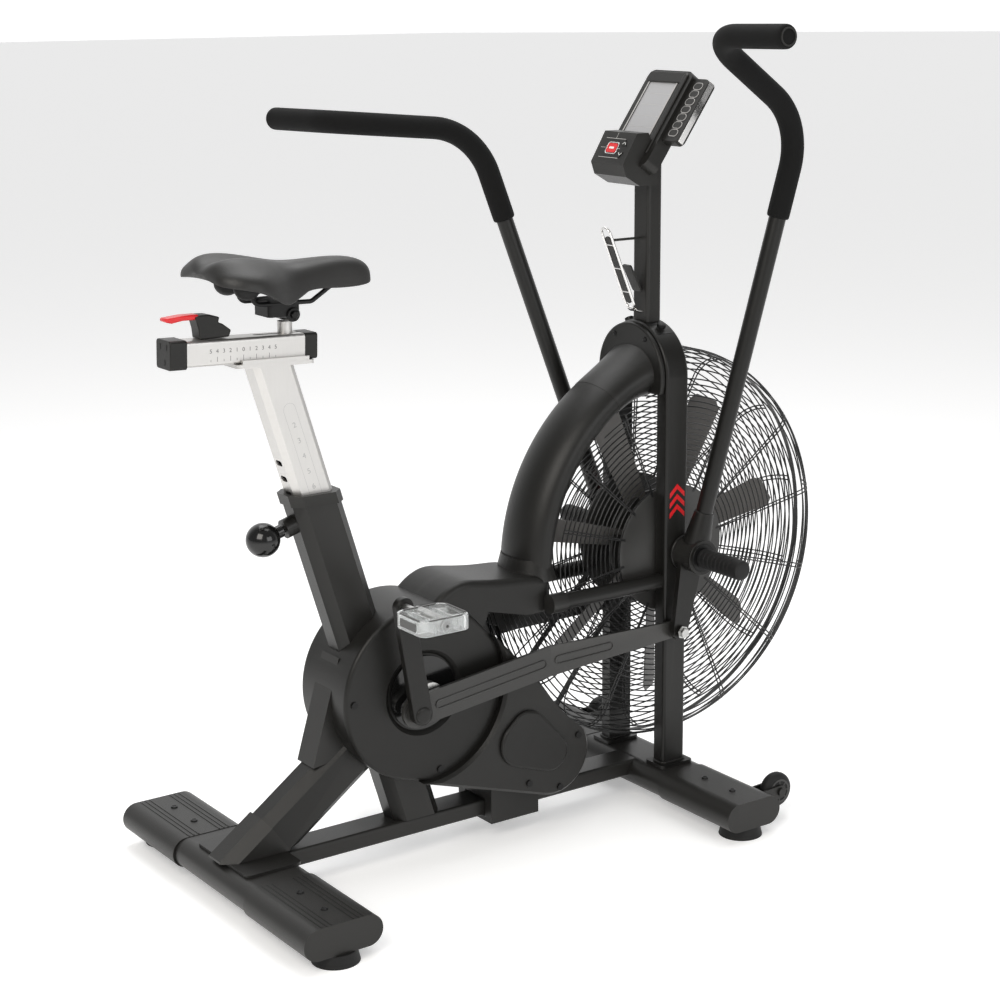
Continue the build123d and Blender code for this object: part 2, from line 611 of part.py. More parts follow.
def cut_sector(start, end, reach):
    """A pie-shaped cutter about the fan axis, from one angle to another."""
    middle = (start + end) / 2
    corners = [FAN, polar(FAN, reach, start), polar(FAN, reach, middle), polar(FAN, reach, end)]
    with BuildSketch(Plane.XZ) as sector:
        with BuildLine():
            Polyline(*corners, close=True)
        make_face()
    return sector.sketch


with BuildPart() as arch_room:
    with BuildSketch(Plane.YZ.offset(FRONT_X - LEG_HALF_X - 3)):
        with Locations((0, ARCH_Z + 50)):
            Rectangle(200, 100)
        with Locations((0, ARCH_Z)):
            Circle(LEG_INNER - 3, mode=Mode.SUBTRACT)
    extrude(amount=2 * LEG_HALF_X + 6)
with BuildSketch(Plane.XZ) as behind_shroud:
    add(cut_sector(*SHROUD_ROOM, 3 * CAGE_RADIUS))
    with Locations(SHROUD_CENTRE):
        Circle(SHROUD_RADIUS - 27, mode=Mode.SUBTRACT)
with BuildPart() as cage_sides:
    for y in (FACE_Y[1], -FACE_Y[0]):
        with BuildSketch(side(y)):
            with Locations(FAN):
                radius = CAGE_RADIUS
                while radius > HUB_DISC_RADIUS + RING_PITCH / 2:
                    Circle(radius)
                    Circle(radius - WIRE, mode=Mode.SUBTRACT)
                    radius -= RING_PITCH
            for turn in range(SPOKES):
                angle = 360 / SPOKES * (turn + 0.5)
                with Locations(polar(FAN, (CAGE_RADIUS + HUB_DISC_RADIUS) / 2 - WIRE, angle)):
                    Rectangle(CAGE_RADIUS - HUB_DISC_RADIUS + WIRE, WIRE, rotation=angle)
            with Locations(FAN):
                Circle(HUB_DISC_RADIUS)
                Circle(AXLE_RADIUS + 0.1, mode=Mode.SUBTRACT)
            add(behind_shroud.sketch, mode=Mode.SUBTRACT)
        extrude(amount=FACE_Y[1] - FACE_Y[0])
    add(arch_room.part, mode=Mode.SUBTRACT)
keep(cage_sides, "cage_sides")

RIM_RINGS = (-18.0, 18.0)
CROSS_PITCH = 9
with BuildPart() as cage_rim:
    for y in RIM_RINGS:
        with BuildSketch(side(y + WIRE / 2)):
            with Locations(FAN):
                Circle(CAGE_RADIUS)
                Circle(CAGE_RADIUS - WIRE, mode=Mode.SUBTRACT)
            add(cut_sector(*SHROUD_ROOM, 3 * CAGE_RADIUS), mode=Mode.SUBTRACT)
            add(cut_sector(*BELT_ROOM, 3 * CAGE_RADIUS), mode=Mode.SUBTRACT)
        extrude(amount=WIRE)
    with BuildSketch(Plane.XZ):
        for angle in range(0, 360, CROSS_PITCH):
            in_shroud = SHROUD_ROOM[0] - 1 < angle < SHROUD_ROOM[1] + 1
            in_belt = BELT_ROOM[0] - 1 < angle < BELT_ROOM[1] + 1
            if not in_shroud and not in_belt:
                with Locations(polar(FAN, CAGE_RADIUS - WIRE / 2, angle)):
                    Rectangle(WIRE, WIRE, rotation=angle)
    extrude(amount=FACE_Y[0], both=True)
    add(arch_room.part, mode=Mode.SUBTRACT)
keep(cage_rim, "cage_rim")

# Fan axle with the handles' stub axles, foot pegs, and the fan wheel with its pulley.
HUB_Y = (90.0, 140.0)
PEG_Y = (142.0, 240.0)
with BuildPart() as fan_axle:
    add(rod(-LEG_OUTER - GAP, LEG_OUTER + GAP, FAN, AXLE_RADIUS))
    for sign in (-1, 1):
        add(rod(sign * (LEG_OUTER + GAP), sign * PEG_Y[0], FAN, HANDLE_AXLE_RADIUS))
keep(fan_axle, "fan_axle")

with BuildPart() as foot_pegs:
    for sign in (-1, 1):
        add(rod(sign * PEG_Y[0], sign * (PEG_Y[1] - 4), FAN, 16, 12.5))
        add(rod(sign * (PEG_Y[1] - 4), sign * PEG_Y[1], FAN, 16))
keep(foot_pegs, "foot_pegs")

BLADES = 7
BLADE_Y = (-42.0, 34.0)
with BuildPart() as fan_wheel:
    add(rod(BLADE_Y[0] - 2, BLADE_Y[1] + 2, FAN, 30))
    add(rod(BLADE_Y[1] + 2, FAN_BELT[0], FAN, 20))
    add(rod(*FAN_BELT, FAN, FAN_PULLEY))
    add(rod(-6, -3, FAN, 120))
    with BuildSketch(side(BLADE_Y[1])):
        for turn in range(BLADES):
            angle = 360 / BLADES * turn + 12
            with Locations(polar(FAN, (BLADE_RADIUS + 26) / 2, angle)):
                Rectangle(BLADE_RADIUS - 26, 2.5, rotation=angle)
    extrude(amount=BLADE_Y[1] - BLADE_Y[0])
    add(rod(-80, 80, FAN, AXLE_RADIUS + RUN), mode=Mode.SUBTRACT)
keep(fan_wheel, "fan_wheel")

# Drive train: crank pulley to the jackshaft on the right, jackshaft to the fan on the left.
CRANK_BELT = (-55.0, -46.0)
with BuildPart() as jackshaft:
    add(rod(-58, 56, JACK, JACK_SHAFT_RADIUS))
    add(rod(*CRANK_BELT, JACK, JACK_SMALL))
    add(rod(*FAN_BELT, JACK, JACK_LARGE))
keep(jackshaft, "jackshaft")

with BuildPart() as crank_pulley:
    with BuildSketch(side(CRANK_BELT[1])):
        with Locations(CRANK):
            Circle(CRANK_PULLEY)
            Circle(SHAFT_RADIUS + 0.02, mode=Mode.SUBTRACT)
            with PolarLocations(60, 6):
                Circle(18, mode=Mode.SUBTRACT)
    extrude(amount=CRANK_BELT[1] - CRANK_BELT[0])
keep(crank_pulley, "crank_pulley")

BELT = 3.0
with BuildPart() as drive_belts:
    for span, first, second in (
        (CRANK_BELT, (*CRANK, CRANK_PULLEY), (*JACK, JACK_SMALL)),
        (FAN_BELT, (*JACK, JACK_LARGE), (*FAN, FAN_PULLEY)),
    ):
        outer = [(x, z, radius + GAP + BELT) for x, z, radius in (first, second)]
        inner = [(x, z, radius + GAP) for x, z, radius in (first, second)]
        with BuildPart(mode=Mode.PRIVATE) as loop:
            add(plate(*span, *outer))
            add(plate(*span, *inner), mode=Mode.SUBTRACT)
        add(loop.part)
keep(drive_belts, "drive_belts")

# Crank: axle with an eccentric inner crank each side, outer arms, spindles and pedals.
INNER_CRANK_Y = (74.0, 88.0)
CRANK_ARM_Y = (103.0, 117.0)
PIN_RADIUS = 10.0
SPINDLE_RADIUS = 7.0
PEDAL_Y = (153.0, 232.0)
PEDAL_SIZE = (87.0, 25.0)
with BuildPart() as crank_axle:
    add(rod(-INNER_CRANK_Y[0], INNER_CRANK_Y[0], CRANK, SHAFT_RADIUS))
    for sign in (-1, 1):
        span = [sign * y for y in INNER_CRANK_Y]
        add(plate(*span, (*CRANK, 22), (*rear_pin[sign], 15)))
        add(rod(span[1], sign * CRANK_ARM_Y[0], rear_pin[sign], PIN_RADIUS))
keep(crank_axle, "crank_axle")

with BuildPart() as crank_arms:
    for sign in (-1, 1):
        span = [sign * y for y in CRANK_ARM_Y]
        add(plate(*span, (*rear_pin[sign], 17), (*pedal_axis[sign], 15.5)))
    fillet(crank_arms.faces().filter_by(Axis.Y).edges(), 2)
keep(crank_arms, "crank_arms")

with BuildPart() as crank_discs:
    for sign in (-1, 1):
        add(rod(sign * 63.2, sign * 66.2, CRANK, 59, SHAFT_RADIUS + 0.05))
keep(crank_discs, "crank_discs")

with BuildPart() as pedal_spindles:
    for sign in (-1, 1):
        add(rod(sign * CRANK_ARM_Y[1], sign * (PEDAL_Y[1] - 5), pedal_axis[sign], SPINDLE_RADIUS))
keep(pedal_spindles, "pedal_spindles")

sides = {"right": -1, "left": 1}
for hand, sign in sides.items():
    x, z = pedal_axis[sign]
    with BuildPart() as pedal:
        with BuildSketch(Plane.XY.offset(z - PEDAL_SIZE[1] / 2)):
            with Locations((x, sign * (PEDAL_Y[0] + PEDAL_Y[1]) / 2)):
                RectangleRounded(PEDAL_SIZE[0], PEDAL_Y[1] - PEDAL_Y[0], 14)
                with Locations((-25.5, 0), (25.5, 0)):
                    Rectangle(21, 56, mode=Mode.SUBTRACT)
        extrude(amount=PEDAL_SIZE[1])
        bore = (sign * (PEDAL_Y[0] - 5), sign * (PEDAL_Y[1] - 4), pedal_axis[sign], SPINDLE_RADIUS + RUN)
        add(rod(*bore), mode=Mode.SUBTRACT)
    keep(pedal, f"{hand}_pedal")

# Connecting rods: flat stamped plates, cranked a little upwards at mid length.
ROD_Y = (92.0, 98.0)
ROD_HALF = 25.0
ROD_RISE = 13.0
for hand, sign in sides.items():
    rear, front = rear_pin[sign], lever_pin(rear_pin[sign])
    along = ((front[0] - rear[0]) / CONROD_LENGTH, (front[1] - rear[1]) / CONROD_LENGTH)
    knee = (
        rear[0] + along[0] * CONROD_LENGTH / 2 - along[1] * ROD_RISE,
        rear[1] + along[1] * CONROD_LENGTH / 2 + along[0] * ROD_RISE,
    )
    span = [sign * y for y in ROD_Y]
    with BuildPart() as conrod:
        add(plate(*span, (*rear, ROD_HALF), (*knee, ROD_HALF)))
        add(plate(*span, (*knee, ROD_HALF), (*front, 14)))
        add(rod(sign * 90, sign * 100, rear, 19))
        add(rod(sign * 89.5, sign * 98, front, 10))
        add(rod(sign * 80, sign * 110, rear, PIN_RADIUS + RUN), mode=Mode.SUBTRACT)
    keep(conrod, f"{hand}_conrod")

# Handles: hub, upright bent tube, lower arm with its rod bolt, and foam grips.
HANDLE_POINTS = [(0, 115.0, 0), (-41, 199, 721), (-273, 212.6, 802.7), (-287, 405.0, 803)]
GRIP_START = 0.785
GRIP_RADIUS = 18.5
BENDS = [115.0, 75.0]
TUBE_RADIUS = 14.0
for hand, sign in sides.items():
    rear = rear_pin[sign]
    angle = swing_angle(rear)
    front = lever_pin(rear)
    path = [swung((x, sign * y, z), angle) for x, y, z in HANDLE_POINTS]
    upright = Vector(*path[1]) - Vector(*path[0])
    grip_point = Vector(*path[0]) + upright * GRIP_START
    with BuildPart() as handle:
        with BuildLine():
            FilletPolyline(*path, radius=BENDS)
        with BuildSketch(Plane(origin=path[0], z_dir=upright)):
            Circle(TUBE_RADIUS)
            Circle(TUBE_RADIUS - 2.5, mode=Mode.SUBTRACT)
        sweep()
        add(rod(sign * HUB_Y[0], sign * HUB_Y[1], FAN, 28))
        add(plate(sign * 104, sign * 114, (*FAN, 24), (*front, 15)))
        add(rod(sign * 98.6, sign * 104, front, 6))
        add(rod(sign * 114, sign * 119, front, 9))
        add(rod(sign * 80, sign * 160, FAN, HANDLE_AXLE_RADIUS + RUN), mode=Mode.SUBTRACT)
    keep(handle, f"{hand}_handle")
    with BuildPart() as grip:
        with BuildLine():
            FilletPolyline(grip_point, *path[1:], radius=BENDS)
        with BuildSketch(Plane(origin=grip_point, z_dir=upright)):
            Circle(GRIP_RADIUS)
            Circle(TUBE_RADIUS + 0.1, mode=Mode.SUBTRACT)
        sweep()
    keep(grip, f"{hand}_grip")

# Transport wheels in forked brackets ahead of the front stabiliser.
WHEEL = (REAR_X + 870, 47.0)
WHEEL_RADIUS = 30.0
WHEEL_Y = (229.0, 251.0)
BOLT_RADIUS = 4.0
sleeve_size = (FRONT_WIDTH + SLEEVE_GROW + 0.4, STABILISER_HEIGHT + 2)
sleeve_front = flat_oval(FRONT_X, *sleeve_size, 200, STABILISER_HALF)
with BuildPart() as right_brackets:
    for inner_y in (WHEEL_Y[0] - 4, WHEEL_Y[1] + 1):
        add(plate(inner_y, inner_y + 3, (*WHEEL, 11), (FRONT_X + 58, 44, 12)))
    add(plate(WHEEL_Y[0] - 4, WHEEL_Y[1] + 4, (FRONT_X + 58, 37, 3), (FRONT_X + 58, 51, 3)))
    add(sleeve_front, mode=Mode.SUBTRACT)
    add(rod(200, 280, WHEEL, BOLT_RADIUS + RUN), mode=Mode.SUBTRACT)
with BuildPart() as wheel_brackets:
    add(right_brackets.part)
    add(rod(WHEEL_Y[0] - 8, WHEEL_Y[1] + 7, WHEEL, BOLT_RADIUS))
    add(rod(WHEEL_Y[0] - 9, WHEEL_Y[0] - 4.2, WHEEL, 7))
    add(rod(WHEEL_Y[1] + 4.2, WHEEL_Y[1] + 8, WHEEL, 7))
    mirror(about=Plane.XZ)
keep(wheel_brackets, "wheel_brackets")
for hand, sign in sides.items():
    with BuildPart() as wheel:
        add(rod(sign * WHEEL_Y[0], sign * WHEEL_Y[1], WHEEL, WHEEL_RADIUS, BOLT_RADIUS + RUN))
        fillet(wheel.edges().filter_by(GeomType.CIRCLE).group_by(SortBy.RADIUS)[-1], 3)
    keep(wheel, f"{hand}_transport_wheel")

# Console: a tilted body with a recessed screen, a key wing on the rider's right and a
# lower pod with the start and arrow keys.
console_tilt = atan2(103, 73)
console_plane = Plane(
    origin=(REAR_X + 791.5, 0, 1172.5), x_dir=(0, -1, 0), z_dir=(-sin(console_tilt), 0, cos(console_tilt))
)
pod_tilt = atan2(48, 29)
pod_plane = Plane(
    origin=(REAR_X + 707.5, 0, 1106), x_dir=(0, -1, 0), z_dir=(-sin(pod_tilt), 0, cos(pod_tilt))
)
WING_DEPTH = 6.0
KEY_RISE, KEY_ROOM = 1.0, 5.0
WING_KEYS = [(75.0, 40.0 - 14.5 * index) for index in range(7)]
POD_KEYS = {"start_key": (-4.0, -1.0), "up_key": (23.0, 8.0), "down_key": (23.0, -10.0)}


def key_outline(name, grow=0.0):
    """A pod key's outline: a rounded rectangle to start, a triangle for each arrow."""
    if name == "start_key":
        RectangleRounded(24 + 2 * grow, 16 + 2 * grow, 4)
    else:
        RegularPolygon(7 + 2 * grow, 3, rotation=90 if name == "up_key" else -90)


with BuildPart() as console_body:
    with BuildSketch(console_plane):
        with Locations((0, -26)):
            RectangleRounded(112, 178, 14)
    extrude(amount=-28)
    with BuildSketch(console_plane.offset(-WING_DEPTH)):
        with Locations((68, -4)):
            RectangleRounded(52, 116, 9)
    extrude(amount=-16)
    with BuildSketch(Plane.XZ):
        with BuildLine():
            pod_corners = [
                (722, 1130), (693, 1082), (700, 1062), (728, 1046), (765, 1046), (760, 1100), (745, 1130),
            ]
            Polyline(*[(REAR_X + x, z) for x, z in pod_corners], close=True)
        make_face()
    extrude(amount=42, both=True)
    with BuildSketch(console_plane):
        with Locations((-8, -4)):
            RectangleRounded(70, 112, 4)
    extrude(amount=-3, mode=Mode.SUBTRACT)
    with BuildSketch(console_plane.offset(-WING_DEPTH)):
        with Locations(*WING_KEYS):
            SlotOverall(19.6, 11.6)
    extrude(amount=-KEY_ROOM, mode=Mode.SUBTRACT)
    for name, spot in POD_KEYS.items():
        with BuildSketch(pod_plane):
            with Locations(spot):
                key_outline(name, 0.3)
        extrude(amount=-KEY_ROOM, mode=Mode.SUBTRACT)
keep(console_body, "console_body")

with BuildPart() as console_screen:
    with BuildSketch(console_plane.offset(-2.8)):
        with Locations((-8, -4)):
            RectangleRounded(69.4, 111.4, 4)
    extrude(amount=1.5)
    add(console_body.part, mode=Mode.SUBTRACT)
keep(console_screen, "console_screen")

for index, spot in enumerate(WING_KEYS):
    with BuildPart() as wing_key:
        with BuildSketch(console_plane.offset(KEY_RISE - WING_DEPTH)):
            with Locations(spot):
                SlotOverall(19, 11)
        extrude(amount=-4.6)
    keep(wing_key, f"wing_key_{index + 1}")
for name, spot in POD_KEYS.items():
    with BuildPart() as pod_key:
        with BuildSketch(pod_plane.offset(KEY_RISE)):
            with Locations(spot):
                key_outline(name)
        extrude(amount=-4.6)
    keep(pod_key, name)

MAST_X = REAR_X + 778
with BuildPart() as mast:
    with BuildSketch(Plane.XY.offset(ARCH_Z + 80)):
        with Locations((MAST_X, 0)):
            RectangleRounded(30, 40, 6)
            RectangleRounded(30 - 2 * WALL, 40 - 2 * WALL, 3, mode=Mode.SUBTRACT)
    extrude(amount=350)
    split(bisect_by=console_plane.offset(-14), keep=Keep.BOTTOM)
    add(fork.part, mode=Mode.SUBTRACT)
    add(console_body.part, mode=Mode.SUBTRACT)
keep(mast, "mast")

# Bottle bracket: a strip bent at its foot, a backing strip and a stay to the mast.
BRACKET_END = MAST_X - 15.2
with BuildPart() as strip:
    with BuildSketch(Plane.XZ):
        with BuildLine():
            bend = [(REAR_X + 686, 980), (REAR_X + 690, 981.5), (REAR_X + 748, 842), (BRACKET_END, 838)]
            Polyline(*bend, (BRACKET_END, 834), (REAR_X + 745, 838), close=True)
        make_face()
    extrude(amount=12.5, both=True)
    with BuildSketch(Plane.YZ.offset(REAR_X + 697.5)):
        with Locations((0, 957)):
            Circle(3)
    extrude(amount=BRACKET_END - REAR_X - 697.5)
with BuildPart() as backing:
    with BuildSketch(Plane.XZ):
        with BuildLine():
            slab = [(REAR_X + 718, 946), (REAR_X + 722, 948), (BRACKET_END, 872), (BRACKET_END, 861)]
            Polyline(*slab, close=True)
        make_face()
    extrude(amount=11, both=True)
with BuildPart() as bottle_bracket:
    add(strip.part)
    add(backing.part)
keep(bottle_bracket, "bottle_bracket")
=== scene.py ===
import math

import bmesh
import bpy
from mathutils import Matrix, Vector


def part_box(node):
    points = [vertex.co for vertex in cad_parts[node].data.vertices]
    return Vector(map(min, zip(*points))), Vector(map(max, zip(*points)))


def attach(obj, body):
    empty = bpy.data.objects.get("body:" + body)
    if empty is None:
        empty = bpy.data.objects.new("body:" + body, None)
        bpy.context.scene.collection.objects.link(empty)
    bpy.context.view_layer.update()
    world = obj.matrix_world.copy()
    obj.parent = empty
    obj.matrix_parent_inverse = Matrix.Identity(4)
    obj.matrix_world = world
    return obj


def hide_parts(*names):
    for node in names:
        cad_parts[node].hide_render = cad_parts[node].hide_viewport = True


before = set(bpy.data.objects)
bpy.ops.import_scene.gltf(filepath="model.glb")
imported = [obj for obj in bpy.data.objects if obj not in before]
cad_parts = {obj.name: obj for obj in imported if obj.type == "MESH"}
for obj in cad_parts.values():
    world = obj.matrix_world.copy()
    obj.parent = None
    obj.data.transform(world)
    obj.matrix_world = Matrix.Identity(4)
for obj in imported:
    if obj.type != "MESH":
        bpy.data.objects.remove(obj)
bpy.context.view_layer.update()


# ---- places from the frame
def middle(node):
    low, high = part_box(node)
    return Vector([(a + b) / 2 for a, b in zip(low, high)])


FAN = middle("fan_axle")
REAR_X = middle("rear_stabiliser").x
CRANK = middle("crank_axle")
FACE_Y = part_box("cage_sides")[1][1]
CAGE_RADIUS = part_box("cage_sides")[1][2] - FAN.z
SHROUD_CENTRE = Vector((REAR_X + 0.854, 0, 0.431))
SHROUD_INNER = 0.297
SIDES = {"right": -1, "left": 1}


def at(x, y, z):
    """A place given in millimetres from the rear stabiliser, on the floor."""
    return Vector((REAR_X + x / 1000, y / 1000, z / 1000))


def mm(pairs):
    """Pairs of millimetres as metres."""
    return [(a / 1000, b / 1000) for a, b in pairs]


def ray(angle):
    """The direction in the side plane that is turned up from +X by an angle."""
    return Vector((math.cos(angle), 0, math.sin(angle)))


# The (u, v) directions of a level face, and of one that is seen from the side.
LEVEL = (1, 0, 0), (0, 1, 0)
SIDE_ON = (1, 0, 0), (0, 0, 1)


def leaned(origin, degrees):
    """Origin, across, up and outward directions of a face that leans back by an angle."""
    up = ray(math.radians(degrees))
    across = Vector((0, -1, 0))
    return origin, across, up, across.cross(up)


CONSOLE = leaned(at(791.5, 0, 1172.5), 54.67)
POD = leaned(at(707.5, 0, 1106), 58.86)
SEAT_LEAN = math.radians(17.05)
POST_UP = Vector((-math.sin(SEAT_LEAN), 0, math.cos(SEAT_LEAN)))
POST_FORWARD = Vector((math.cos(SEAT_LEAN), 0, math.sin(SEAT_LEAN)))
SEAT_FOOT = at(287.5, 0, 108)
BAR_DROP = math.radians(2)
BAR_FORWARD = Vector((math.cos(BAR_DROP), 0, -math.sin(BAR_DROP)))
BAR_UP = Vector((math.sin(BAR_DROP), 0, math.cos(BAR_DROP)))
BAR_MIDDLE = at(69, 0, 848)


# ---- materials
NOISE_SPAN = (0.3, 0.7)
# Pointiness span over which sharp edges are painted lighter, partly as wear and partly as a painted
# highlight.
EDGE_WEAR_AND_HIGHLIGHT_SPAN = (0.53, 0.62)
UNEVEN_GLOSS = 0.06
BLOTCHES = 9.0


def node_material(name):
    """A new material with its nodes, links and principled shader at hand."""
    made = bpy.data.materials.new(name)
    made.use_nodes = True
    nodes = made.node_tree.nodes
    return made, nodes, made.node_tree.links, nodes["Principled BSDF"]


def put(node, **values):
    """Sets a node's inputs; an underscore stands for a space in a name."""
    for socket, value in values.items():
        node.inputs[socket.replace("_", " ")].default_value = value


def noise(nodes, links, scale, detail=4.0, stretch=(1, 1, 1)):
    """Object-space noise, optionally stretched along an axis."""
    place = nodes.new("ShaderNodeTexCoord")
    mapping = nodes.new("ShaderNodeMapping")
    put(mapping, Scale=stretch)
    links.new(place.outputs["Object"], mapping.inputs["Vector"])
    texture = nodes.new("ShaderNodeTexNoise")
    put(texture, Scale=scale, Detail=detail)
    links.new(mapping.outputs["Vector"], texture.inputs["Vector"])
    return texture


def spread(nodes, links, source, low, high, span=NOISE_SPAN):
    """Maps a span of values, by default that of most noise, to a range."""
    ranged = nodes.new("ShaderNodeMapRange")
    put(ranged, From_Min=span[0], From_Max=span[1], To_Min=low, To_Max=high)
    links.new(source, ranged.inputs["Value"])
    return ranged.outputs["Result"]


def mixed(nodes, links, factor, low, high):
    """A mix of two colours by a factor; low is a colour or the socket of one."""
    tint = nodes.new("ShaderNodeMix")
    tint.data_type = "RGBA"
    links.new(factor, tint.inputs[0])
    if isinstance(low, tuple):
        tint.inputs[6].default_value = (*low, 1)
    else:
        links.new(low, tint.inputs[6])
    tint.inputs[7].default_value = (*high, 1)
    return tint.outputs[2]


def roughen(nodes, links, shader, height, strength, depth):
    """Bump on a shader, from a height."""
    relief = nodes.new("ShaderNodeBump")
    put(relief, Strength=strength, Distance=depth)
    links.new(height, relief.inputs["Height"])
    links.new(relief.outputs["Normal"], shader.inputs["Normal"])


def surface(name, colour, rough, metal=0.0, grain=900.0, bump=0.1, depth=0.0003, vary=0.12,
            stretch=(1, 1, 1), edge_wear_and_highlight=0.0, **extra):
    """A finish with uneven colour, uneven gloss, fine grain, and sharp edges painted lighter: partly wear,
    partly a painted highlight.
    """
    made, nodes, links, shader = node_material(name)
    put(shader, Metallic=metal, **extra)
    blotch = noise(nodes, links, BLOTCHES, 6.0)
    fine = noise(nodes, links, grain, 3.0, stretch)
    low = tuple(c * (1 - vary) for c in colour)
    high = tuple(min(1, c * (1 + vary)) for c in colour)
    last = mixed(nodes, links, blotch.outputs["Fac"], low, high)
    # Sharp edges get a lighter colour: partly wear, partly a painted highlight standing in for light
    # catching the edges.
    if edge_wear_and_highlight:
        edge = nodes.new("ShaderNodeNewGeometry")
        worn_and_highlit_edges = spread(nodes, links, edge.outputs["Pointiness"], 0, edge_wear_and_highlight, EDGE_WEAR_AND_HIGHLIGHT_SPAN)
        last = mixed(nodes, links, worn_and_highlit_edges, last, tuple(min(1, c * 2.6 + 0.02) for c in colour))
    links.new(last, shader.inputs["Base Color"])
    roughness = spread(nodes, links, fine.outputs["Fac"], rough - UNEVEN_GLOSS, rough + UNEVEN_GLOSS)
    links.new(roughness, shader.inputs["Roughness"])
    roughen(nodes, links, shader, fine.outputs["Fac"], bump, depth)
    return made


CHARCOAL = (0.0068, 0.0065, 0.0057)
DULL = 0.32
# The edge amounts below lighten sharp edges, partly as wear and partly as a painted highlight.
paint = surface("powder_coat", CHARCOAL, 0.36, grain=1400, bump=0.25, edge_wear_and_highlight=0.35, Specular_IOR_Level=DULL)
plastic = surface("moulded_plastic", (0.0082, 0.0079, 0.007), 0.4, grain=2200, bump=0.3, edge_wear_and_highlight=0.3,
                  Specular_IOR_Level=DULL)
gloss = surface("polished_plastic", (0.006, 0.006, 0.006), 0.14, grain=60, bump=0.03, vary=0.05)
rod_paint = surface("rod_paint", (0.022, 0.0215, 0.02), 0.33, grain=1200, bump=0.2, edge_wear_and_highlight=0.4)
wire_paint = surface("wire_coat", (0.006, 0.006, 0.006), 0.35, grain=700, bump=0.15)
disc_paint = surface("disc_paint", (0.03, 0.0295, 0.028), 0.4, grain=1200, bump=0.25)
blade_paint = surface("blade_paint", (0.11, 0.105, 0.1), 0.42, grain=900, bump=0.2)
aluminium = surface("satin_aluminium", (0.6, 0.59, 0.575), 0.42, 1.0, 500, 0.12, vary=0.05,
                    stretch=(1, 1, 0.04))
bright = surface("bright_alloy", (0.8, 0.79, 0.78), 0.2, 1.0, 500, 0.06, vary=0.04)
steel = surface("zinc_steel", (0.5, 0.5, 0.49), 0.3, 1.0, 800, 0.2, vary=0.1)
dark_steel = surface("black_oxide", (0.02, 0.02, 0.02), 0.4, 0.8, 800, 0.2)
rubber = surface("rubber", (0.008, 0.008, 0.008), 0.6, grain=1800, bump=0.4, Specular_IOR_Level=DULL)
foam = surface("grip_foam", (0.0035, 0.0035, 0.0035), 0.8, grain=1500, bump=0.9, depth=0.0006,
               Specular_IOR_Level=0.2)
red = surface("red_plastic", (0.6, 0.012, 0.016), 0.3, grain=1500, bump=0.1, vary=0.06)
white = surface("white_print", (0.75, 0.75, 0.74), 0.5, grain=1500, bump=0.05)
grey_print = surface("grey_print", (0.4, 0.39, 0.38), 0.5, grain=1500, bump=0.05)
screen = surface("display_window", (0.36, 0.36, 0.37), 0.18, grain=40, bump=0.02, vary=0.04)
belt_rubber = surface("belt_rubber", (0.012, 0.012, 0.012), 0.6, grain=900, bump=0.4)
clear = surface("clear_plastic", (0.93, 0.95, 0.95), 0.08, grain=300, bump=0.05, vary=0.02,
                Transmission_Weight=0.8, IOR=1.49)


def leather_material():
    """Grained synthetic leather: rounded cells with fine creases between them."""
    made, nodes, links, shader = node_material("saddle_leather")
    place = nodes.new("ShaderNodeTexCoord")
    cells = nodes.new("ShaderNodeTexVoronoi")
    put(cells, Scale=520)
    links.new(place.outputs["Object"], cells.inputs["Vector"])
    blotch = noise(nodes, links, 14.0, 6.0)
    colour = mixed(nodes, links, blotch.outputs["Fac"], (0.0075, 0.0072, 0.0066), (0.0125, 0.012, 0.011))
    links.new(colour, shader.inputs["Base Color"])
    roughness = spread(nodes, links, blotch.outputs["Fac"], 0.42, 0.54)
    links.new(roughness, shader.inputs["Roughness"])
    roughen(nodes, links, shader, cells.outputs["Distance"], 0.35, 0.0004)
    return made


leather = leather_material()


# ---- mesh helpers
def add_object(name, data):
    made = bpy.data.objects.new(name, data)
    bpy.context.collection.objects.link(made)
    return made


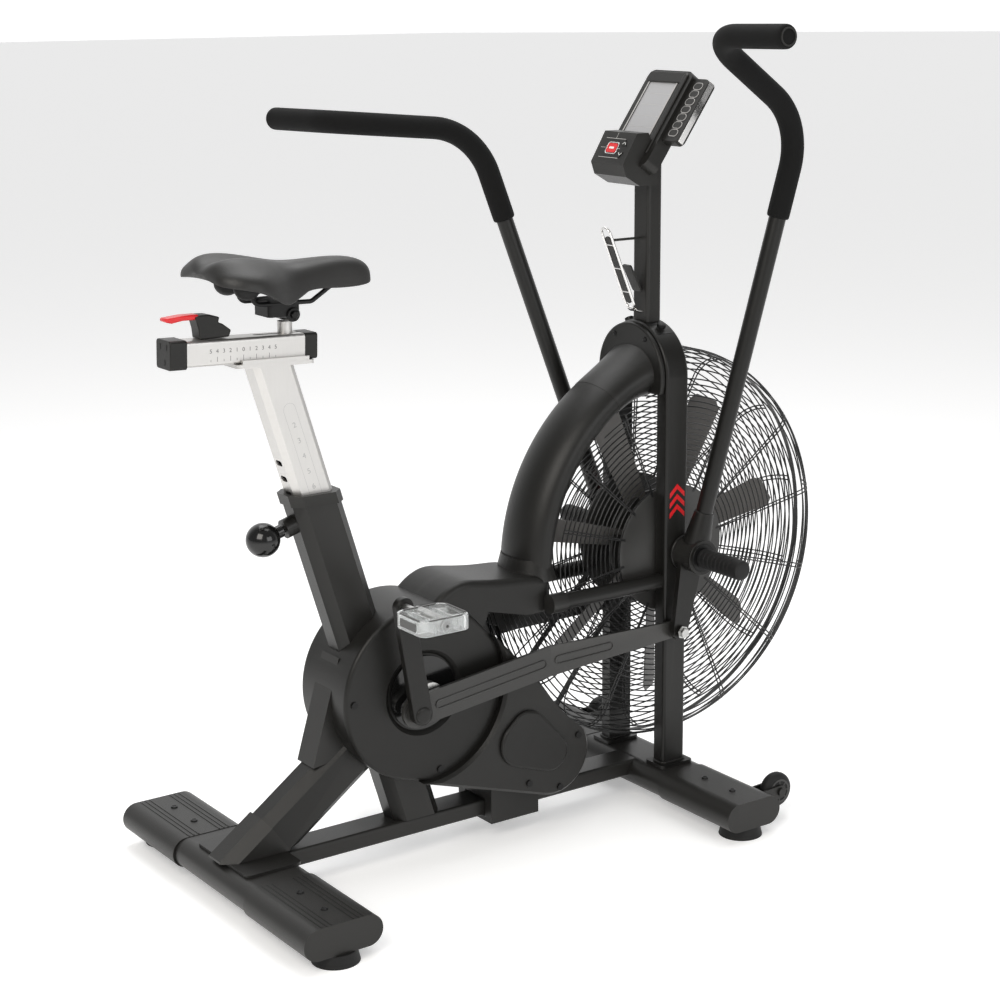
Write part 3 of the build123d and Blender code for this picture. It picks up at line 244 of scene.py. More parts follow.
class Shape:
    """Collects vertices and faces, then makes one object of them."""

    def __init__(self):
        self.verts, self.faces = [], []

    def skin(self, start, rows, sides, closed=False):
        """Faces over rows of vertices, and over both ends unless the last row meets the first."""
        for row in range(rows if closed else rows - 1):
            ring, after = start + row * sides, start + (row + 1) % rows * sides
            for step in range(sides):
                beside = (step + 1) % sides
                self.faces.append((ring + step, ring + beside, after + beside, after + step))
        if not closed:
            last = start + (rows - 1) * sides
            self.faces.append(tuple(start + step for step in reversed(range(sides))))
            self.faces.append(tuple(last + step for step in range(sides)))

    def tube(self, points, radius, sides=8, closed=False):
        """A round bar along points; radius is a number or one per point."""
        points = [Vector(p) for p in points]
        count = len(points)
        radii = radius if isinstance(radius, list) else [radius] * count
        start = len(self.verts)
        normal = None
        for index, point in enumerate(points):
            after = points[(index + 1) % count] if closed or index < count - 1 else point
            before = points[index - 1] if closed or index else point
            along = (after - before).normalized()
            if normal is None:
                normal = along.orthogonal().normalized()
            normal = (normal - along * normal.dot(along)).normalized()
            across = along.cross(normal)
            for step in range(sides):
                turn = 2 * math.pi * step / sides
                offset = normal * math.cos(turn) + across * math.sin(turn)
                self.verts.append(point + offset * radii[index])
        self.skin(start, count, sides, closed)

    def lathe(self, origin, axis, profile, sides=48):
        """A turned shape: profile is (distance along the axis, radius) pairs."""
        axis = Vector(axis).normalized()
        normal = axis.orthogonal().normalized()
        across = axis.cross(normal)
        start = len(self.verts)
        for along, radius in profile:
            for step in range(sides):
                turn = 2 * math.pi * step / sides
                spoke = normal * math.cos(turn) + across * math.sin(turn)
                self.verts.append(Vector(origin) + axis * along + spoke * radius)
        self.skin(start, len(profile), sides)

    def prism(self, outline, base, u, v, depth):
        """An outline of (u, v) points on a plane, pushed along u x v by depth."""
        u, v = Vector(u).normalized(), Vector(v).normalized()
        push = u.cross(v) * depth
        start, count = len(self.verts), len(outline)
        for lift in (Vector(), push):
            self.verts += [Vector(base) + u * a + v * b + lift for a, b in outline]
        self.skin(start, 2, count)

    def band(self, outer, inner, base, u, v, depth):
        """A flat ring between two outlines of equally many (u, v) points."""
        u, v = Vector(u).normalized(), Vector(v).normalized()
        push = u.cross(v) * depth
        start, count = len(self.verts), len(outer)
        for lift in (Vector(), push):
            for outline in (outer, inner):
                self.verts += [Vector(base) + u * a + v * b + lift for a, b in outline]
        for step in range(count):
            beside = (step + 1) % count
            corners = [start + row * count + step for row in range(4)]
            nexts = [start + row * count + beside for row in range(4)]
            for first, second in ((0, 1), (1, 3), (3, 2), (2, 0)):
                self.faces.append((corners[first], nexts[first], nexts[second], corners[second]))

    def make(self, name, finish, body, slot, bevel=0.0, replaces=(), smooth=True, angle=35):
        """The finished object, riding on a CAD body."""
        mesh = bpy.data.meshes.new(name)
        mesh.from_pydata([tuple(v) for v in self.verts], [], self.faces)
        tidy = bmesh.new()
        tidy.from_mesh(mesh)
        bmesh.ops.recalc_face_normals(tidy, faces=tidy.faces)
        tidy.to_mesh(mesh)
        tidy.free()
        piece = add_object(name, mesh)
        piece.data.materials.append(finish)
        if bevel:
            soft = piece.modifiers.new("bevel", "BEVEL")
            soft.width = bevel
            soft.segments = 3
            soft.limit_method = "ANGLE"
            soft.angle_limit = math.radians(40)
        if smooth:
            mesh.shade_smooth()
            mesh.set_sharp_from_angle(angle=math.radians(angle))
        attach(piece, body)
        if replaces:
            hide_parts(*replaces)
        return piece


def rounded(points, radii, steps=8):
    """Points of a path whose corners are arcs of the given radii."""
    points = [Vector(p) for p in points]
    path = [points[0]]
    for before, corner, after, radius in zip(points, points[1:], points[2:], radii):
        into, out = (before - corner).normalized(), (after - corner).normalized()
        half = into.angle(out) / 2
        reach = radius / math.tan(half)
        centre = corner + (into + out).normalized() * radius / math.sin(half)
        first, last = corner + into * reach - centre, corner + out * reach - centre
        sweep = first.angle(last)
        for step in range(steps + 1):
            part = step / steps
            along = first * math.sin((1 - part) * sweep) + last * math.sin(part * sweep)
            path.append(centre + along / math.sin(sweep))
    return path + [points[-1]]


def rounded_box(width, height, radius, steps=6):
    """Corner points of a rectangle with round corners, about its middle."""
    outline = []
    for corner, (sx, sy) in enumerate(((1, 1), (-1, 1), (-1, -1), (1, -1))):
        for step in range(steps + 1):
            turn = math.pi / 2 * (corner + step / steps)
            outline.append((sx * (width / 2 - radius) + radius * math.cos(turn),
                            sy * (height / 2 - radius) + radius * math.sin(turn)))
    return outline


def circle(radius, sides=40, centre=(0, 0)):
    turns = [2 * math.pi * step / sides for step in range(sides)]
    return [(centre[0] + radius * math.cos(t), centre[1] + radius * math.sin(t)) for t in turns]


def stadium(width, height, steps=10):
    return rounded_box(width, height, min(width, height) / 2 - 1e-6, steps)


def hull(*circles):
    """The outline round some (u, v, radius) circles."""
    points = sorted(p for u, v, radius in circles for p in circle(radius, 64, (u, v)))

    def half(ordered):
        kept = []
        for p in ordered:
            while len(kept) > 1 and ((kept[-1][0] - kept[-2][0]) * (p[1] - kept[-2][1])
                                     - (kept[-1][1] - kept[-2][1]) * (p[0] - kept[-2][0])) <= 1e-12:
                kept.pop()
            kept.append(p)
        return kept[:-1]
    return half(points) + half(points[::-1])


def moved(outline, u, v):
    return [(a + u, b + v) for a, b in outline]


# ---- CAD nodes that stay
finishes = {
    paint: ("base_rail", "rear_stabiliser", "front_stabiliser", "seat_tube", "rear_brace", "fork", "mast",
            "side_tubes", "right_handle", "left_handle", "crank_arms", "foot_pegs", "wheel_brackets",
            "bearing_plates"),
    dark_steel: ("cover_screws", "crank_pulley", "jackshaft", "saddle_clamp"),
    plastic: ("right_cover", "left_cover", "shroud", "brace_cover", "post_bushing", "stabiliser_end_covers",
              "console_body", "up_key", "down_key",
              *(f"wing_key_{index}" for index in range(1, 8))),
    rod_paint: ("right_conrod", "left_conrod"),
    gloss: ("crank_discs", "pull_knob"),
    steel: ("crank_axle", "fan_axle", "shaft_bearings", "pedal_spindles"),
    aluminium: ("seat_post", "slider_bar"),
    rubber: ("rubber_feet",),
    belt_rubber: ("drive_belts",),
    screen: ("console_screen",),
    red: ("start_key",),
}
for finish, nodes in finishes.items():
    for node in nodes:
        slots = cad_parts[node].data.materials
        slots.clear()
        slots.append(finish)


# ---- fan cage
WIRE = 0.00125
RING_PITCH = 0.0092
SHOULDER = 0.040
HOOP_HALF = 0.005
HUB_DISC = 0.105
SHROUD_SECTOR = (math.radians(97), math.radians(196))
BELT_SECTOR = (math.radians(216), math.radians(242))
STEP = math.radians(1.5)
SHOULDER_TURNS = (12, 27, 42, 57, 72, 86)
BAR_PAIRS, BAR_PHASE, BAR_HALF_GAP = 14, 0.4, 0.011
HOOP_CHAMFER = 0.0022
HUB_DISC_RIM = [  # along the axis, and radius past the disc's own
    (0, 0), (0.0012, 0.003), (0.003, 0.003), (0.003, -0.002), (0.0022, -0.006),
]
HUB_DISC_MIDDLE = [(0.0022, 0.06), (0.0045, 0.052), (0.0045, 0.0086)]


def round_fan(radius, angle, y):
    """A place at a radius and an angle round the fan's axle."""
    return FAN + Vector((radius * math.cos(angle), y, radius * math.sin(angle)))


def cage_profile():
    """(radius, y) places from the hub disc over the shoulder to the middle of the rim."""
    places = []
    radius = HUB_DISC + 0.006
    while radius < CAGE_RADIUS - SHOULDER:
        places.append((radius, FACE_Y - WIRE))
        radius += RING_PITCH
    corner = (CAGE_RADIUS - SHOULDER - WIRE, FACE_Y - SHOULDER - WIRE)
    for turn in SHOULDER_TURNS:
        bend = math.radians(turn)
        places.append((corner[0] + SHOULDER * math.sin(bend), corner[1] + SHOULDER * math.cos(bend)))
    return places


def open_here(angle, radius, left):
    """Whether the cage has a wire here: the shroud and the belt take its place elsewhere."""
    point = FAN + ray(angle) * radius
    flat = Vector((point.x - SHROUD_CENTRE.x, 0, point.z - SHROUD_CENTRE.z))
    if SHROUD_SECTOR[0] < angle < SHROUD_SECTOR[1] and flat.length > SHROUD_INNER:
        return False
    return not (left and BELT_SECTOR[0] < angle < BELT_SECTOR[1] and radius > CAGE_RADIUS - 2 * SHOULDER)


def add_cage(side, sign):
    """One wire face: rings, the bars that cross them, and the disc in its middle."""
    wires = Shape()
    profile = cage_profile()
    count = round(2 * math.pi / STEP)
    for radius, y in profile:
        run, first = [], []
        whole = True
        for index in range(count):
            angle = index * STEP
            if open_here(angle, radius, sign > 0):
                run.append(round_fan(radius, angle, sign * y))
                continue
            whole = False
            if not first and run:
                first = run
            elif len(run) > 2:
                wires.tube(run, WIRE, 6)
            run = []
        if whole:
            wires.tube(run, WIRE, 6, closed=True)
        else:
            wires.tube(run + first, WIRE, 6)
    places = [(HUB_DISC - 0.004, FACE_Y - 2 * WIRE)] + profile
    for turn in range(BAR_PAIRS):
        for shift in (-BAR_HALF_GAP, BAR_HALF_GAP):
            angle = 2 * math.pi * (turn + BAR_PHASE) / BAR_PAIRS + shift
            bar = [round_fan(radius, angle, sign * (y + 0.6 * WIRE))
                   for radius, y in places if open_here(angle, radius, sign > 0)]
            wires.tube(bar, WIRE, 6)
    wires.make(f"cage_{side}", wire_paint, "root", "wire_paint", replaces=("cage_sides",), angle=60)
    disc = Shape()
    rim = [(along, HUB_DISC + past) for along, past in HUB_DISC_RIM]
    rim = [(0, 0.0088)] + rim + HUB_DISC_MIDDLE
    disc.lathe(FAN + Vector((0, sign * (FACE_Y - 0.0042), 0)), (0, sign, 0), rim, 96)
    disc.make(f"hub_disc_{side}", disc_paint, "root", "wire_paint")


def add_hoop():
    """The flat hoop that joins the two wire faces, open where the shroud is."""
    hoop = Shape()
    inner, level = -HOOP_CHAMFER, HOOP_HALF - HOOP_CHAMFER
    section = [(inner, -HOOP_HALF), (0, -level), (0, level), (inner, HOOP_HALF)]
    count = round((2 * math.pi - SHROUD_SECTOR[1] + SHROUD_SECTOR[0]) / STEP)
    for index in range(count + 1):
        angle = SHROUD_SECTOR[1] + index * STEP
        for depth, y in section:
            hoop.verts.append(round_fan(CAGE_RADIUS - 0.0002 + depth, angle, y))
    hoop.skin(0, count + 1, len(section))
    hoop.make("cage_hoop", wire_paint, "root", "wire_paint", replaces=("cage_rim",))


for side, sign in SIDES.items():
    add_cage(side, sign)
add_hoop()


# ---- handles' grips and hubs
HANDLE_POINTS = [(0, 0.115, 0), (-0.041, 0.199, 0.721), (-0.273, 0.2126, 0.8027), (-0.287, 0.405, 0.803)]
GRIP_START = 0.785
BENDS = (0.115, 0.075)
GRIP_RADIUS = 0.0184
GRIP_FOOT_STEPS, GRIP_FOOT_RADII = (0.0006, 0.002, 0.004, 0.01), [0.0148, 0.0166, 0.0177, 0.0182]
GRIP_TIP_STEPS, GRIP_TIP_RADII = (0.012, 0.006, 0.003, 0.001, 0), [0.0184, 0.0181, 0.0168, 0.0128, 0.004]
LEVER_ARM = (0.008, -0.131)
CONROD_LENGTH = 0.5125
CRANK_THROW, CRANK_PIN_ANGLE = 0.036, math.radians(208)
PEDAL_RADIUS, PEDAL_ANGLE = 0.172, math.radians(111)

# Turned profiles: (along, radius) pairs in millimetres.
HUB_RING_Y, HUB_CAP_Y, WASHER_Y, ROD_BOLT_Y, PEG_Y = 0.0895, 0.1355, 0.1406, 0.119, 0.142
COLLAR_START = 0.02
COLLAR = [(0, 14.5), (0, 22.5), (12, 22), (50, 16.8), (54, 16.2), (55, 14.5)]
HUB_RING = [(0, 16), (0, 29.2), (1, 30), (4, 30), (5, 29.2), (5, 28)]
HUB_CAP = [(0, 28), (0, 29.2), (1, 30), (4, 30), (5, 29), (5, 16)]
WASHER = [(0, 15.5), (0, 23.5), (0.4, 24), (1.4, 23.5), (1.4, 15.5)]
ROD_BOLT = [(0, 9), (0.6, 11.2), (1.6, 11.2), (1.6, 8.6), (7.5, 8.4), (8.2, 7.6), (8.2, 1)]
PEG_START = [(0, 12.5), (0, 15.6), (1, 16.6)]
PEG_GROOVE = [(0, 16.6), (0.7, 15.9), (2.2, 15.9), (2.9, 16.6)]
PEG_END = [(91, 16.6), (95.5, 15.8), (97.5, 13.5), (98, 11), (98, 1)]
PEG_GROOVES, PEG_GROOVE_START, PEG_GROOVE_PITCH = 8, 6, 10


def crank_pin(sign):
    return CRANK - sign * CRANK_THROW * ray(CRANK_PIN_ANGLE)


def pedal_axis(sign):
    return CRANK - sign * PEDAL_RADIUS * ray(PEDAL_ANGLE)


def lever_pin(sign):
    """Where the connecting rod meets the handle's lower arm."""
    pin = crank_pin(sign)
    arm, reach = math.hypot(*LEVER_ARM), math.hypot(FAN.x - pin.x, FAN.z - pin.z)
    opening = math.acos((reach**2 + CONROD_LENGTH**2 - arm**2) / (2 * reach * CONROD_LENGTH))
    bearing = math.atan2(FAN.z - pin.z, FAN.x - pin.x) - opening
    return pin + CONROD_LENGTH * ray(bearing)


def handle_turn(sign):
    """The handle's rest angle about +Y."""
    pin = lever_pin(sign)
    return math.atan2(LEVER_ARM[1], LEVER_ARM[0]) - math.atan2(pin.z - FAN.z, pin.x - FAN.x)


def add_grip(side, sign):
    """Foam sleeve with rounded ends over the bent part of the handle."""
    swing = Matrix.Rotation(handle_turn(sign), 3, "Y")
    points = [FAN + swing @ Vector((x, sign * y, z)) for x, y, z in HANDLE_POINTS]
    foot = points[0]
    points[0] = points[0].lerp(points[1], GRIP_START)
    path = rounded(points, BENDS, 20)
    lead = (path[1] - path[0]).normalized()
    path[1:1] = [path[0] + lead * step for step in GRIP_FOOT_STEPS]
    tail = (path[-1] - path[-2]).normalized()
    end = path.pop()
    path += [end - tail * step for step in GRIP_TIP_STEPS]
    radii = [GRIP_RADIUS] * len(path)
    radii[:4] = GRIP_FOOT_RADII
    radii[-5:] = GRIP_TIP_RADII
    sleeve = Shape()
    sleeve.tube(path, radii, 32)
    piece = sleeve.make(f"{side}_foam_grip", foam, f"{side}_handle", "foam", replaces=(f"{side}_grip",),
                        angle=60)
    add_handle_hub(side, sign, (points[0] - foot).normalized(), foot)


def add_handle_hub(side, sign, upright, foot):
    """Tapered collar at the foot of the tube, hub rings, rod bolt, and the peg's rubber sleeve."""
    body = f"{side}_handle"
    outward = Vector((0, sign, 0))
    collar = Shape()
    collar.lathe(foot + upright * COLLAR_START, upright, mm(COLLAR), 32)
    collar.lathe(FAN + outward * HUB_RING_Y, outward, mm(HUB_RING), 48)
    collar.lathe(FAN + outward * HUB_CAP_Y, outward, mm(HUB_CAP), 48)
    collar.make(f"{side}_hub_collar", paint, body, "frame_paint", angle=30)
    washer = Shape()
    washer.lathe(FAN + outward * WASHER_Y, outward, mm(WASHER), 48)
    washer.make(f"{side}_hub_washer", dark_steel, "root", "steel", angle=30)
    bolt = Shape()
    bolt.lathe(lever_pin(sign) + outward * ROD_BOLT_Y, outward, mm(ROD_BOLT), 6)
    bolt.make(f"{side}_rod_bolt", steel, body, "steel", smooth=False)
    sleeve = Shape()
    profile = list(PEG_START)
    for groove in range(PEG_GROOVES):
        along = PEG_GROOVE_START + PEG_GROOVE_PITCH * groove
        profile += [(along + step, radius) for step, radius in PEG_GROOVE]
    sleeve.lathe(FAN + outward * PEG_Y, outward, mm(profile + PEG_END), 48)
    # Both pegs are one CAD node, and one of the two sleeves says that it replaces it.
    replaced = ("foot_pegs",) if sign < 0 else ()
    sleeve.make(f"{side}_peg_sleeve", rubber, "root", "rubber", replaces=replaced, angle=35)


for side, sign in SIDES.items():
    add_grip(side, sign)


# ---- saddle
SADDLE_STATIONS = [  # x, half width, height of the valley, height of the lobes above it, skirt's foot
    (-40, 50, 965, 2, 956), (-36, 66, 973, 4, 953), (-22, 82, 978, 8, 950), (0, 91, 979, 10, 947),
    (25, 91, 977, 10, 939), (50, 80, 976, 6, 925), (72, 62, 974, 3, 915), (90, 52, 972, 1, 919),
    (112, 43, 971, 0, 932), (140, 36, 972, 0, 933), (170, 31, 973, 0, 930), (200, 28, 972, 0, 929),
    (222, 25, 967, 0, 930), (235, 20, 958, 0, 932), (240, 12, 948, 0, 936),
]
ACROSS = 24
UNDERSIDE = [  # part of the half width, height above the skirt's foot
    (0.97, -1.5), (0.9, 0.5), (0.8, 7), (0.4, 11), (-0.4, 11), (-0.8, 7), (-0.9, 0.5), (-0.97, -1.5),
]
LOBE_SPREAD = 1.15
EDGE_SQUARENESS, EDGE_FALL = 3.4, 0.42
BUMPER_Y, BUMPER_LENGTH, BUMPER_RADIUS = 30, 0.04, 0.017
CLAMP_Y = 24
CLAMP_NUT = [(0, 9), (0, 10.5), (3, 10.3), (4, 9.5), (4, 7), (2.2, 6.6), (2.2, 1)]
CLAMP_BOLT = [(0, 6), (5, 6), (6, 5), (6, 1)]


def add_saddle():
    """A moulded saddle: two rear lobes round a valley, deep skirts and a long nose."""
    shell = Shape()
    for x, half, valley, lobe, foot in SADDLE_STATIONS:
        for step in range(ACROSS + 1):
            part = -math.cos(math.pi * step / ACROSS)
            crown = valley + lobe * math.sin(math.pi * min(abs(part) * LOBE_SPREAD, 1)) ** 2
            fall = (1 - abs(part) ** EDGE_SQUARENESS) ** EDGE_FALL
            shell.verts.append(at(x, half * part, foot + (crown - foot) * fall))
        for part, lift in UNDERSIDE:
            shell.verts.append(at(x, half * part, foot + lift))
    shell.skin(0, len(SADDLE_STATIONS), ACROSS + 1 + len(UNDERSIDE))
    piece = shell.make("saddle_cover", leather, "saddle", "saddle_cover", replaces=("saddle",), angle=70)
    smooth = piece.modifiers.new("smooth", "SUBSURF")
    smooth.levels = smooth.render_levels = 2
    bumper = Shape()
    half, turns = BUMPER_LENGTH / 2, [math.radians(turn) for turn in range(0, 181, 15)]
    profile = [(half - half * math.cos(t), BUMPER_RADIUS * math.sin(t) + 0.0003) for t in turns]
    for y in (-BUMPER_Y, BUMPER_Y):
        bumper.lathe(at(2, y, 943), (1, 0, -0.08), profile, 32)
    bumper.make("saddle_bumpers", rubber, "saddle", "rubber", angle=60)
    clamp = Shape()
    for y in (-CLAMP_Y, CLAMP_Y):
        outward = Vector((0, y / CLAMP_Y, 0))
        clamp.lathe(at(99, y, 896), outward, mm(CLAMP_NUT), 32)
        clamp.lathe(at(99, y, 896) + outward * 0.002, outward, mm(CLAMP_BOLT), 6)
    clamp.make("saddle_clamp_nuts", dark_steel, "saddle", "steel", angle=30)


add_saddle()


# ---- seat slider and post
BAR_FACE_Y, POST_FACE_Y = -0.02, -0.02301
REAR_CAP, FRONT_CAP = (-0.168, 0.027), (0.0505, 0.0215)
CAP_SLOTS = [(-10, 11), (10, 11), (4, -11)]
SCALE_START, SCALE_PITCH, SCALE_FOOT, NUMBER_RISE = -0.103, 0.0105, -0.0125, 0.0125
LONG_MARK, SHORT_MARK, MARK_HALF = 0.0072, 0.0032, 0.00035
POST_SCALE_TOP, POST_SCALE_PITCH, POST_SCALE_MIDDLE = 0.648, 0.0253, 0.592
LEVER_PIVOT = (-19, 871)
LEVER_CAM = [(-46, 871.5), (-47.5, 886), (-51, 899), (-52, 904), (-44, 906.5), (-30, 906), (-14, 901.5),
             (-16, 894), (-9, 891), (4, 881), (0, 871.5)]
LEVER_BLADE = [(-98, 901), (-97, 906), (-70, 908), (-45, 907.5), (-45, 900), (-70, 900.5), (-88, 898)]


def add_digit(text, place, across, up, height, finish, body, name, thick=0.00008):
    """A number on a scale, as a thin mesh."""
    curve = bpy.data.curves.new(name, "FONT")
    curve.body = text
    curve.size = height
    curve.align_x = "CENTER"
    curve.extrude = thick
    holder = bpy.data.objects.new(name + "_text", curve)
    mesh = bpy.data.meshes.new_from_object(holder)
    bpy.data.objects.remove(holder)
    across, up = Vector(across), Vector(up)
    turn = Matrix((across, up, across.cross(up))).transposed().to_4x4()
    mesh.transform(Matrix.Translation(place) @ turn)
    mesh.materials.clear()
    mesh.materials.append(finish)
    piece = add_object(name, mesh)
    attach(piece, body)


def add_slider():
    caps = Shape()
    for (start, length), outline in ((REAR_CAP, rounded_box(0.045, 0.0425, 0.005)),
                                     (FRONT_CAP, rounded_box(0.0412, 0.0392, 0.005))):
        caps.prism(outline, BAR_MIDDLE + BAR_FORWARD * (start + length), (0, 1, 0), BAR_UP, -length)
    caps.make("slider_end_caps", plastic, "seat_slider", "rubber", bevel=0.0015)
    slots = Shape()
    face = BAR_MIDDLE + BAR_FORWARD * (REAR_CAP[0] - 0.0002)
    for u, v in mm(CAP_SLOTS):
        slots.prism(moved(stadium(0.0035, 0.009), u, v), face, (0, -1, 0), BAR_UP, 0.0003)
    slots.make("slider_cap_slots", belt_rubber, "seat_slider", "rubber")
    marks = Shape()
    for index in range(11):
        tall = LONG_MARK if index % 2 else SHORT_MARK
        foot = BAR_MIDDLE + BAR_FORWARD * (SCALE_START + SCALE_PITCH * index) + BAR_UP * SCALE_FOOT
        foot.y = BAR_FACE_Y
        mark = [(-MARK_HALF, 0), (MARK_HALF, 0), (MARK_HALF, tall), (-MARK_HALF, tall)]
        marks.prism(mark, foot, BAR_FORWARD, BAR_UP, 0.0001)
        place = foot + BAR_UP * NUMBER_RISE + Vector((0, -0.0001, 0))
        add_digit(str(abs(index - 5)), place, BAR_FORWARD, BAR_UP, 0.0085, scale_ink, "seat_slider",
                  f"slider_number_{index + 1}")
    marks.make("slider_marks", scale_ink, "seat_slider", "frame_paint", smooth=False)
    track = Shape()
    track.prism(moved(stadium(0.085, 0.006), 0.018, 0), BAR_MIDDLE + BAR_UP * 0.019, BAR_FORWARD, (0, 1, 0),
                0.0002)
    track.make("slider_track", belt_rubber, "seat_slider", "rubber", smooth=False)


def add_post_scale():
    face = SEAT_FOOT + Vector((0, POST_FACE_Y, 0))
    for index in range(5):
        place = face + POST_UP * (POST_SCALE_TOP - POST_SCALE_PITCH * index)
        add_digit(str(index + 2), place, POST_FORWARD, POST_UP, 0.012, faint_ink, "seat_post",
                  f"post_number_{index + 2}", 0.00002)
    line = Shape()
    line.band(stadium(0.0205, 0.19), stadium(0.0197, 0.1892), face + POST_UP * POST_SCALE_MIDDLE,
              POST_FORWARD, POST_UP, 0.00002)
    line.make("post_scale_line", faint_ink, "seat_post", "frame_paint", smooth=False)


def add_lever():
    """The slider's quick-release: a black cam body and a red blade."""
    def about_pivot(outline):
        return mm([(x - LEVER_PIVOT[0], z - LEVER_PIVOT[1]) for x, z in outline])

    cam = Shape()
    cam.prism(about_pivot(LEVER_CAM), at(LEVER_PIVOT[0], 13, LEVER_PIVOT[1]), *SIDE_ON, 0.026)
    cam.make("lever_cam", plastic, "release_lever", "cover_plastic", bevel=0.0018,
             replaces=("release_lever",))
    blade = Shape()
    blade.prism(about_pivot(LEVER_BLADE), at(LEVER_PIVOT[0], 10, LEVER_PIVOT[1]), *SIDE_ON, 0.02)
    blade.make("lever_blade", red, "release_lever", "red_plastic", bevel=0.0022)


scale_ink = surface("scale_ink", (0.12, 0.12, 0.12), 0.6, grain=1500, bump=0.05)
faint_ink = surface("faint_ink", (0.34, 0.34, 0.34), 0.5, grain=1500, bump=0.05)
add_slider()
add_post_scale()
add_lever()


# ---- pedals and cranks
PEDAL_LENGTH, PEDAL_WIDTH, PEDAL_MIDDLE = 0.087, 0.079, 0.1925
PEDAL_HEIGHT = 0.023
PEDAL_BARREL = [(0, 4), (0, 10.5), (4, 11.5), (70, 12.5), (82, 11.5), (82, 8)]
PEDAL_HOLE = [(0, 1), (0, 2.4), (0.8, 2.4), (0.8, 1)]
CRANK_CAP = [(0, 13.5), (1, 13.8), (2.2, 12.8), (3, 10), (3.3, 6), (3.4, 0.5)]
CRANK_FACE_Y, ROD_FACE_Y = 0.1165, 0.0979
ROD_KNEE = 0.013


def pedal_bar(width, depth, radius, steps, u, v):
    return moved(rounded_box(width, depth, radius, steps), u, v)


def add_pedal(side, sign):
    """A clear frame with end reflectors, tread edges, cross bars and an axle barrel."""
    outer_side = (-sign, 0, 0), (0, 0, 1)
    centre = pedal_axis(sign) + Vector((0, sign * PEDAL_MIDDLE, 0))
    body = f"{side}_pedal"
    base = centre - Vector((0, 0, PEDAL_HEIGHT / 2))

    def lifted(height):
        return base + Vector((0, 0, height))

    cage = Shape()
    cage.band(rounded_box(PEDAL_LENGTH, PEDAL_WIDTH, 0.014, 10),
              rounded_box(PEDAL_LENGTH - 0.01, PEDAL_WIDTH - 0.01, 0.01, 10), base, *LEVEL, PEDAL_HEIGHT)
    for y in (-0.02, 0.02):
        cage.prism(pedal_bar(PEDAL_LENGTH - 0.004, 0.005, 0.0015, 3, 0, y), lifted(0.003), *LEVEL, 0.017)
    for x in (-0.019, 0.019):
        cage.prism(pedal_bar(0.004, PEDAL_WIDTH - 0.004, 0.0015, 3, x, 0), lifted(0.002), *LEVEL, 0.019)
    inward = Vector((0, -sign, 0))
    cage.lathe(centre - inward * 0.038, inward, mm(PEDAL_BARREL), 32)
    cage.make(f"{side}_pedal_frame", clear, body, "clear_plastic", bevel=0.0008,
              replaces=(f"{side}_pedal",), angle=30)
    trim = Shape()
    for end in (-1, 1):
        face = centre + Vector((end * PEDAL_LENGTH / 2, 0, 0))
        trim.prism(rounded_box(0.044, 0.0125, 0.001, 2), face, (0, end, 0), (0, 0, 1), 0.0004)
        edge = pedal_bar(0.0025, PEDAL_WIDTH - 0.026, 0.0008, 2, end * (PEDAL_LENGTH / 2 - 0.003), 0)
        trim.prism(edge, lifted(PEDAL_HEIGHT), *LEVEL, 0.0014)
    outer_face = centre + Vector((0, sign * (PEDAL_WIDTH / 2 - 0.0006), 0))
    trim.lathe(outer_face, (0, sign, 0), mm(PEDAL_HOLE), 20)
    trim.make(f"{side}_pedal_reflectors", reflector, body, "rubber", smooth=False)
    tread = Shape()
    for y in (-PEDAL_WIDTH / 2 + 0.004, PEDAL_WIDTH / 2 - 0.004):
        tread.prism(pedal_bar(PEDAL_LENGTH - 0.03, 0.0032, 0.001, 2, 0, y), lifted(0.0225), *LEVEL, 0.0016)
    tread.make(f"{side}_pedal_tread", reflector, body, "rubber", bevel=0.0003)
    ribs = Shape()
    for x in (-0.027, -0.021, -0.015, 0.027, 0.021):
        ribs.prism(pedal_bar(0.0022, 0.019, 0.0008, 2, x, 0), outer_face, *outer_side, 0.0009)
    ribs.band(circle(0.010, 32), circle(0.0085, 32), outer_face, *outer_side, 0.001)
    ribs.make(f"{side}_pedal_ribs", clear, body, "clear_plastic", bevel=0.0003)


def add_crank_trim(side, sign):
    """The crank's end cap and raised web, and the connecting rod's pressed rib."""
    outward = Vector((0, sign, 0))
    pin, axis = crank_pin(sign), pedal_axis(sign)
    length = (axis - pin).length
    along = (axis - pin).normalized()
    across = along.cross(outward)
    cap = Shape()
    cap.lathe(pin + outward * CRANK_FACE_Y, outward, mm(CRANK_CAP), 40)
    face = pin + along * length / 2 + outward * (CRANK_FACE_Y + 0.0004)
    cap.band(stadium(0.0175, length - 0.055), stadium(0.0145, length - 0.058), face, across, along,
             sign * 0.0009)
    cap.make(f"{side}_crank_cap", paint, "crank", "frame_paint", bevel=0.0004)
    front = lever_pin(sign)
    line = (front - pin).normalized()
    knee = (pin + front) / 2 + Vector((-line.z, 0, line.x)) * ROD_KNEE
    rib = Shape()
    for start, end, start_gap, end_gap in ((pin, knee, 0.034, 0.008), (knee, front, 0.008, 0.13)):
        way = (end - start).normalized()
        first, last = start + way * start_gap, end - way * end_gap
        size = (last - first).length
        base = (first + last) / 2 + outward * ROD_FACE_Y
        rib.band(stadium(size, 0.015), stadium(size - 0.004, 0.011), base, way, outward.cross(way) * sign,
                 sign * 0.0016)
    rib.make(f"{side}_rod_rib", rod_paint, f"{side}_conrod", "rod_paint", bevel=0.0007)


reflector = surface("reflector_dark", (0.045, 0.044, 0.042), 0.3, grain=1500, bump=0.3)
for side, sign in SIDES.items():
    add_pedal(side, sign)
    add_crank_trim(side, sign)


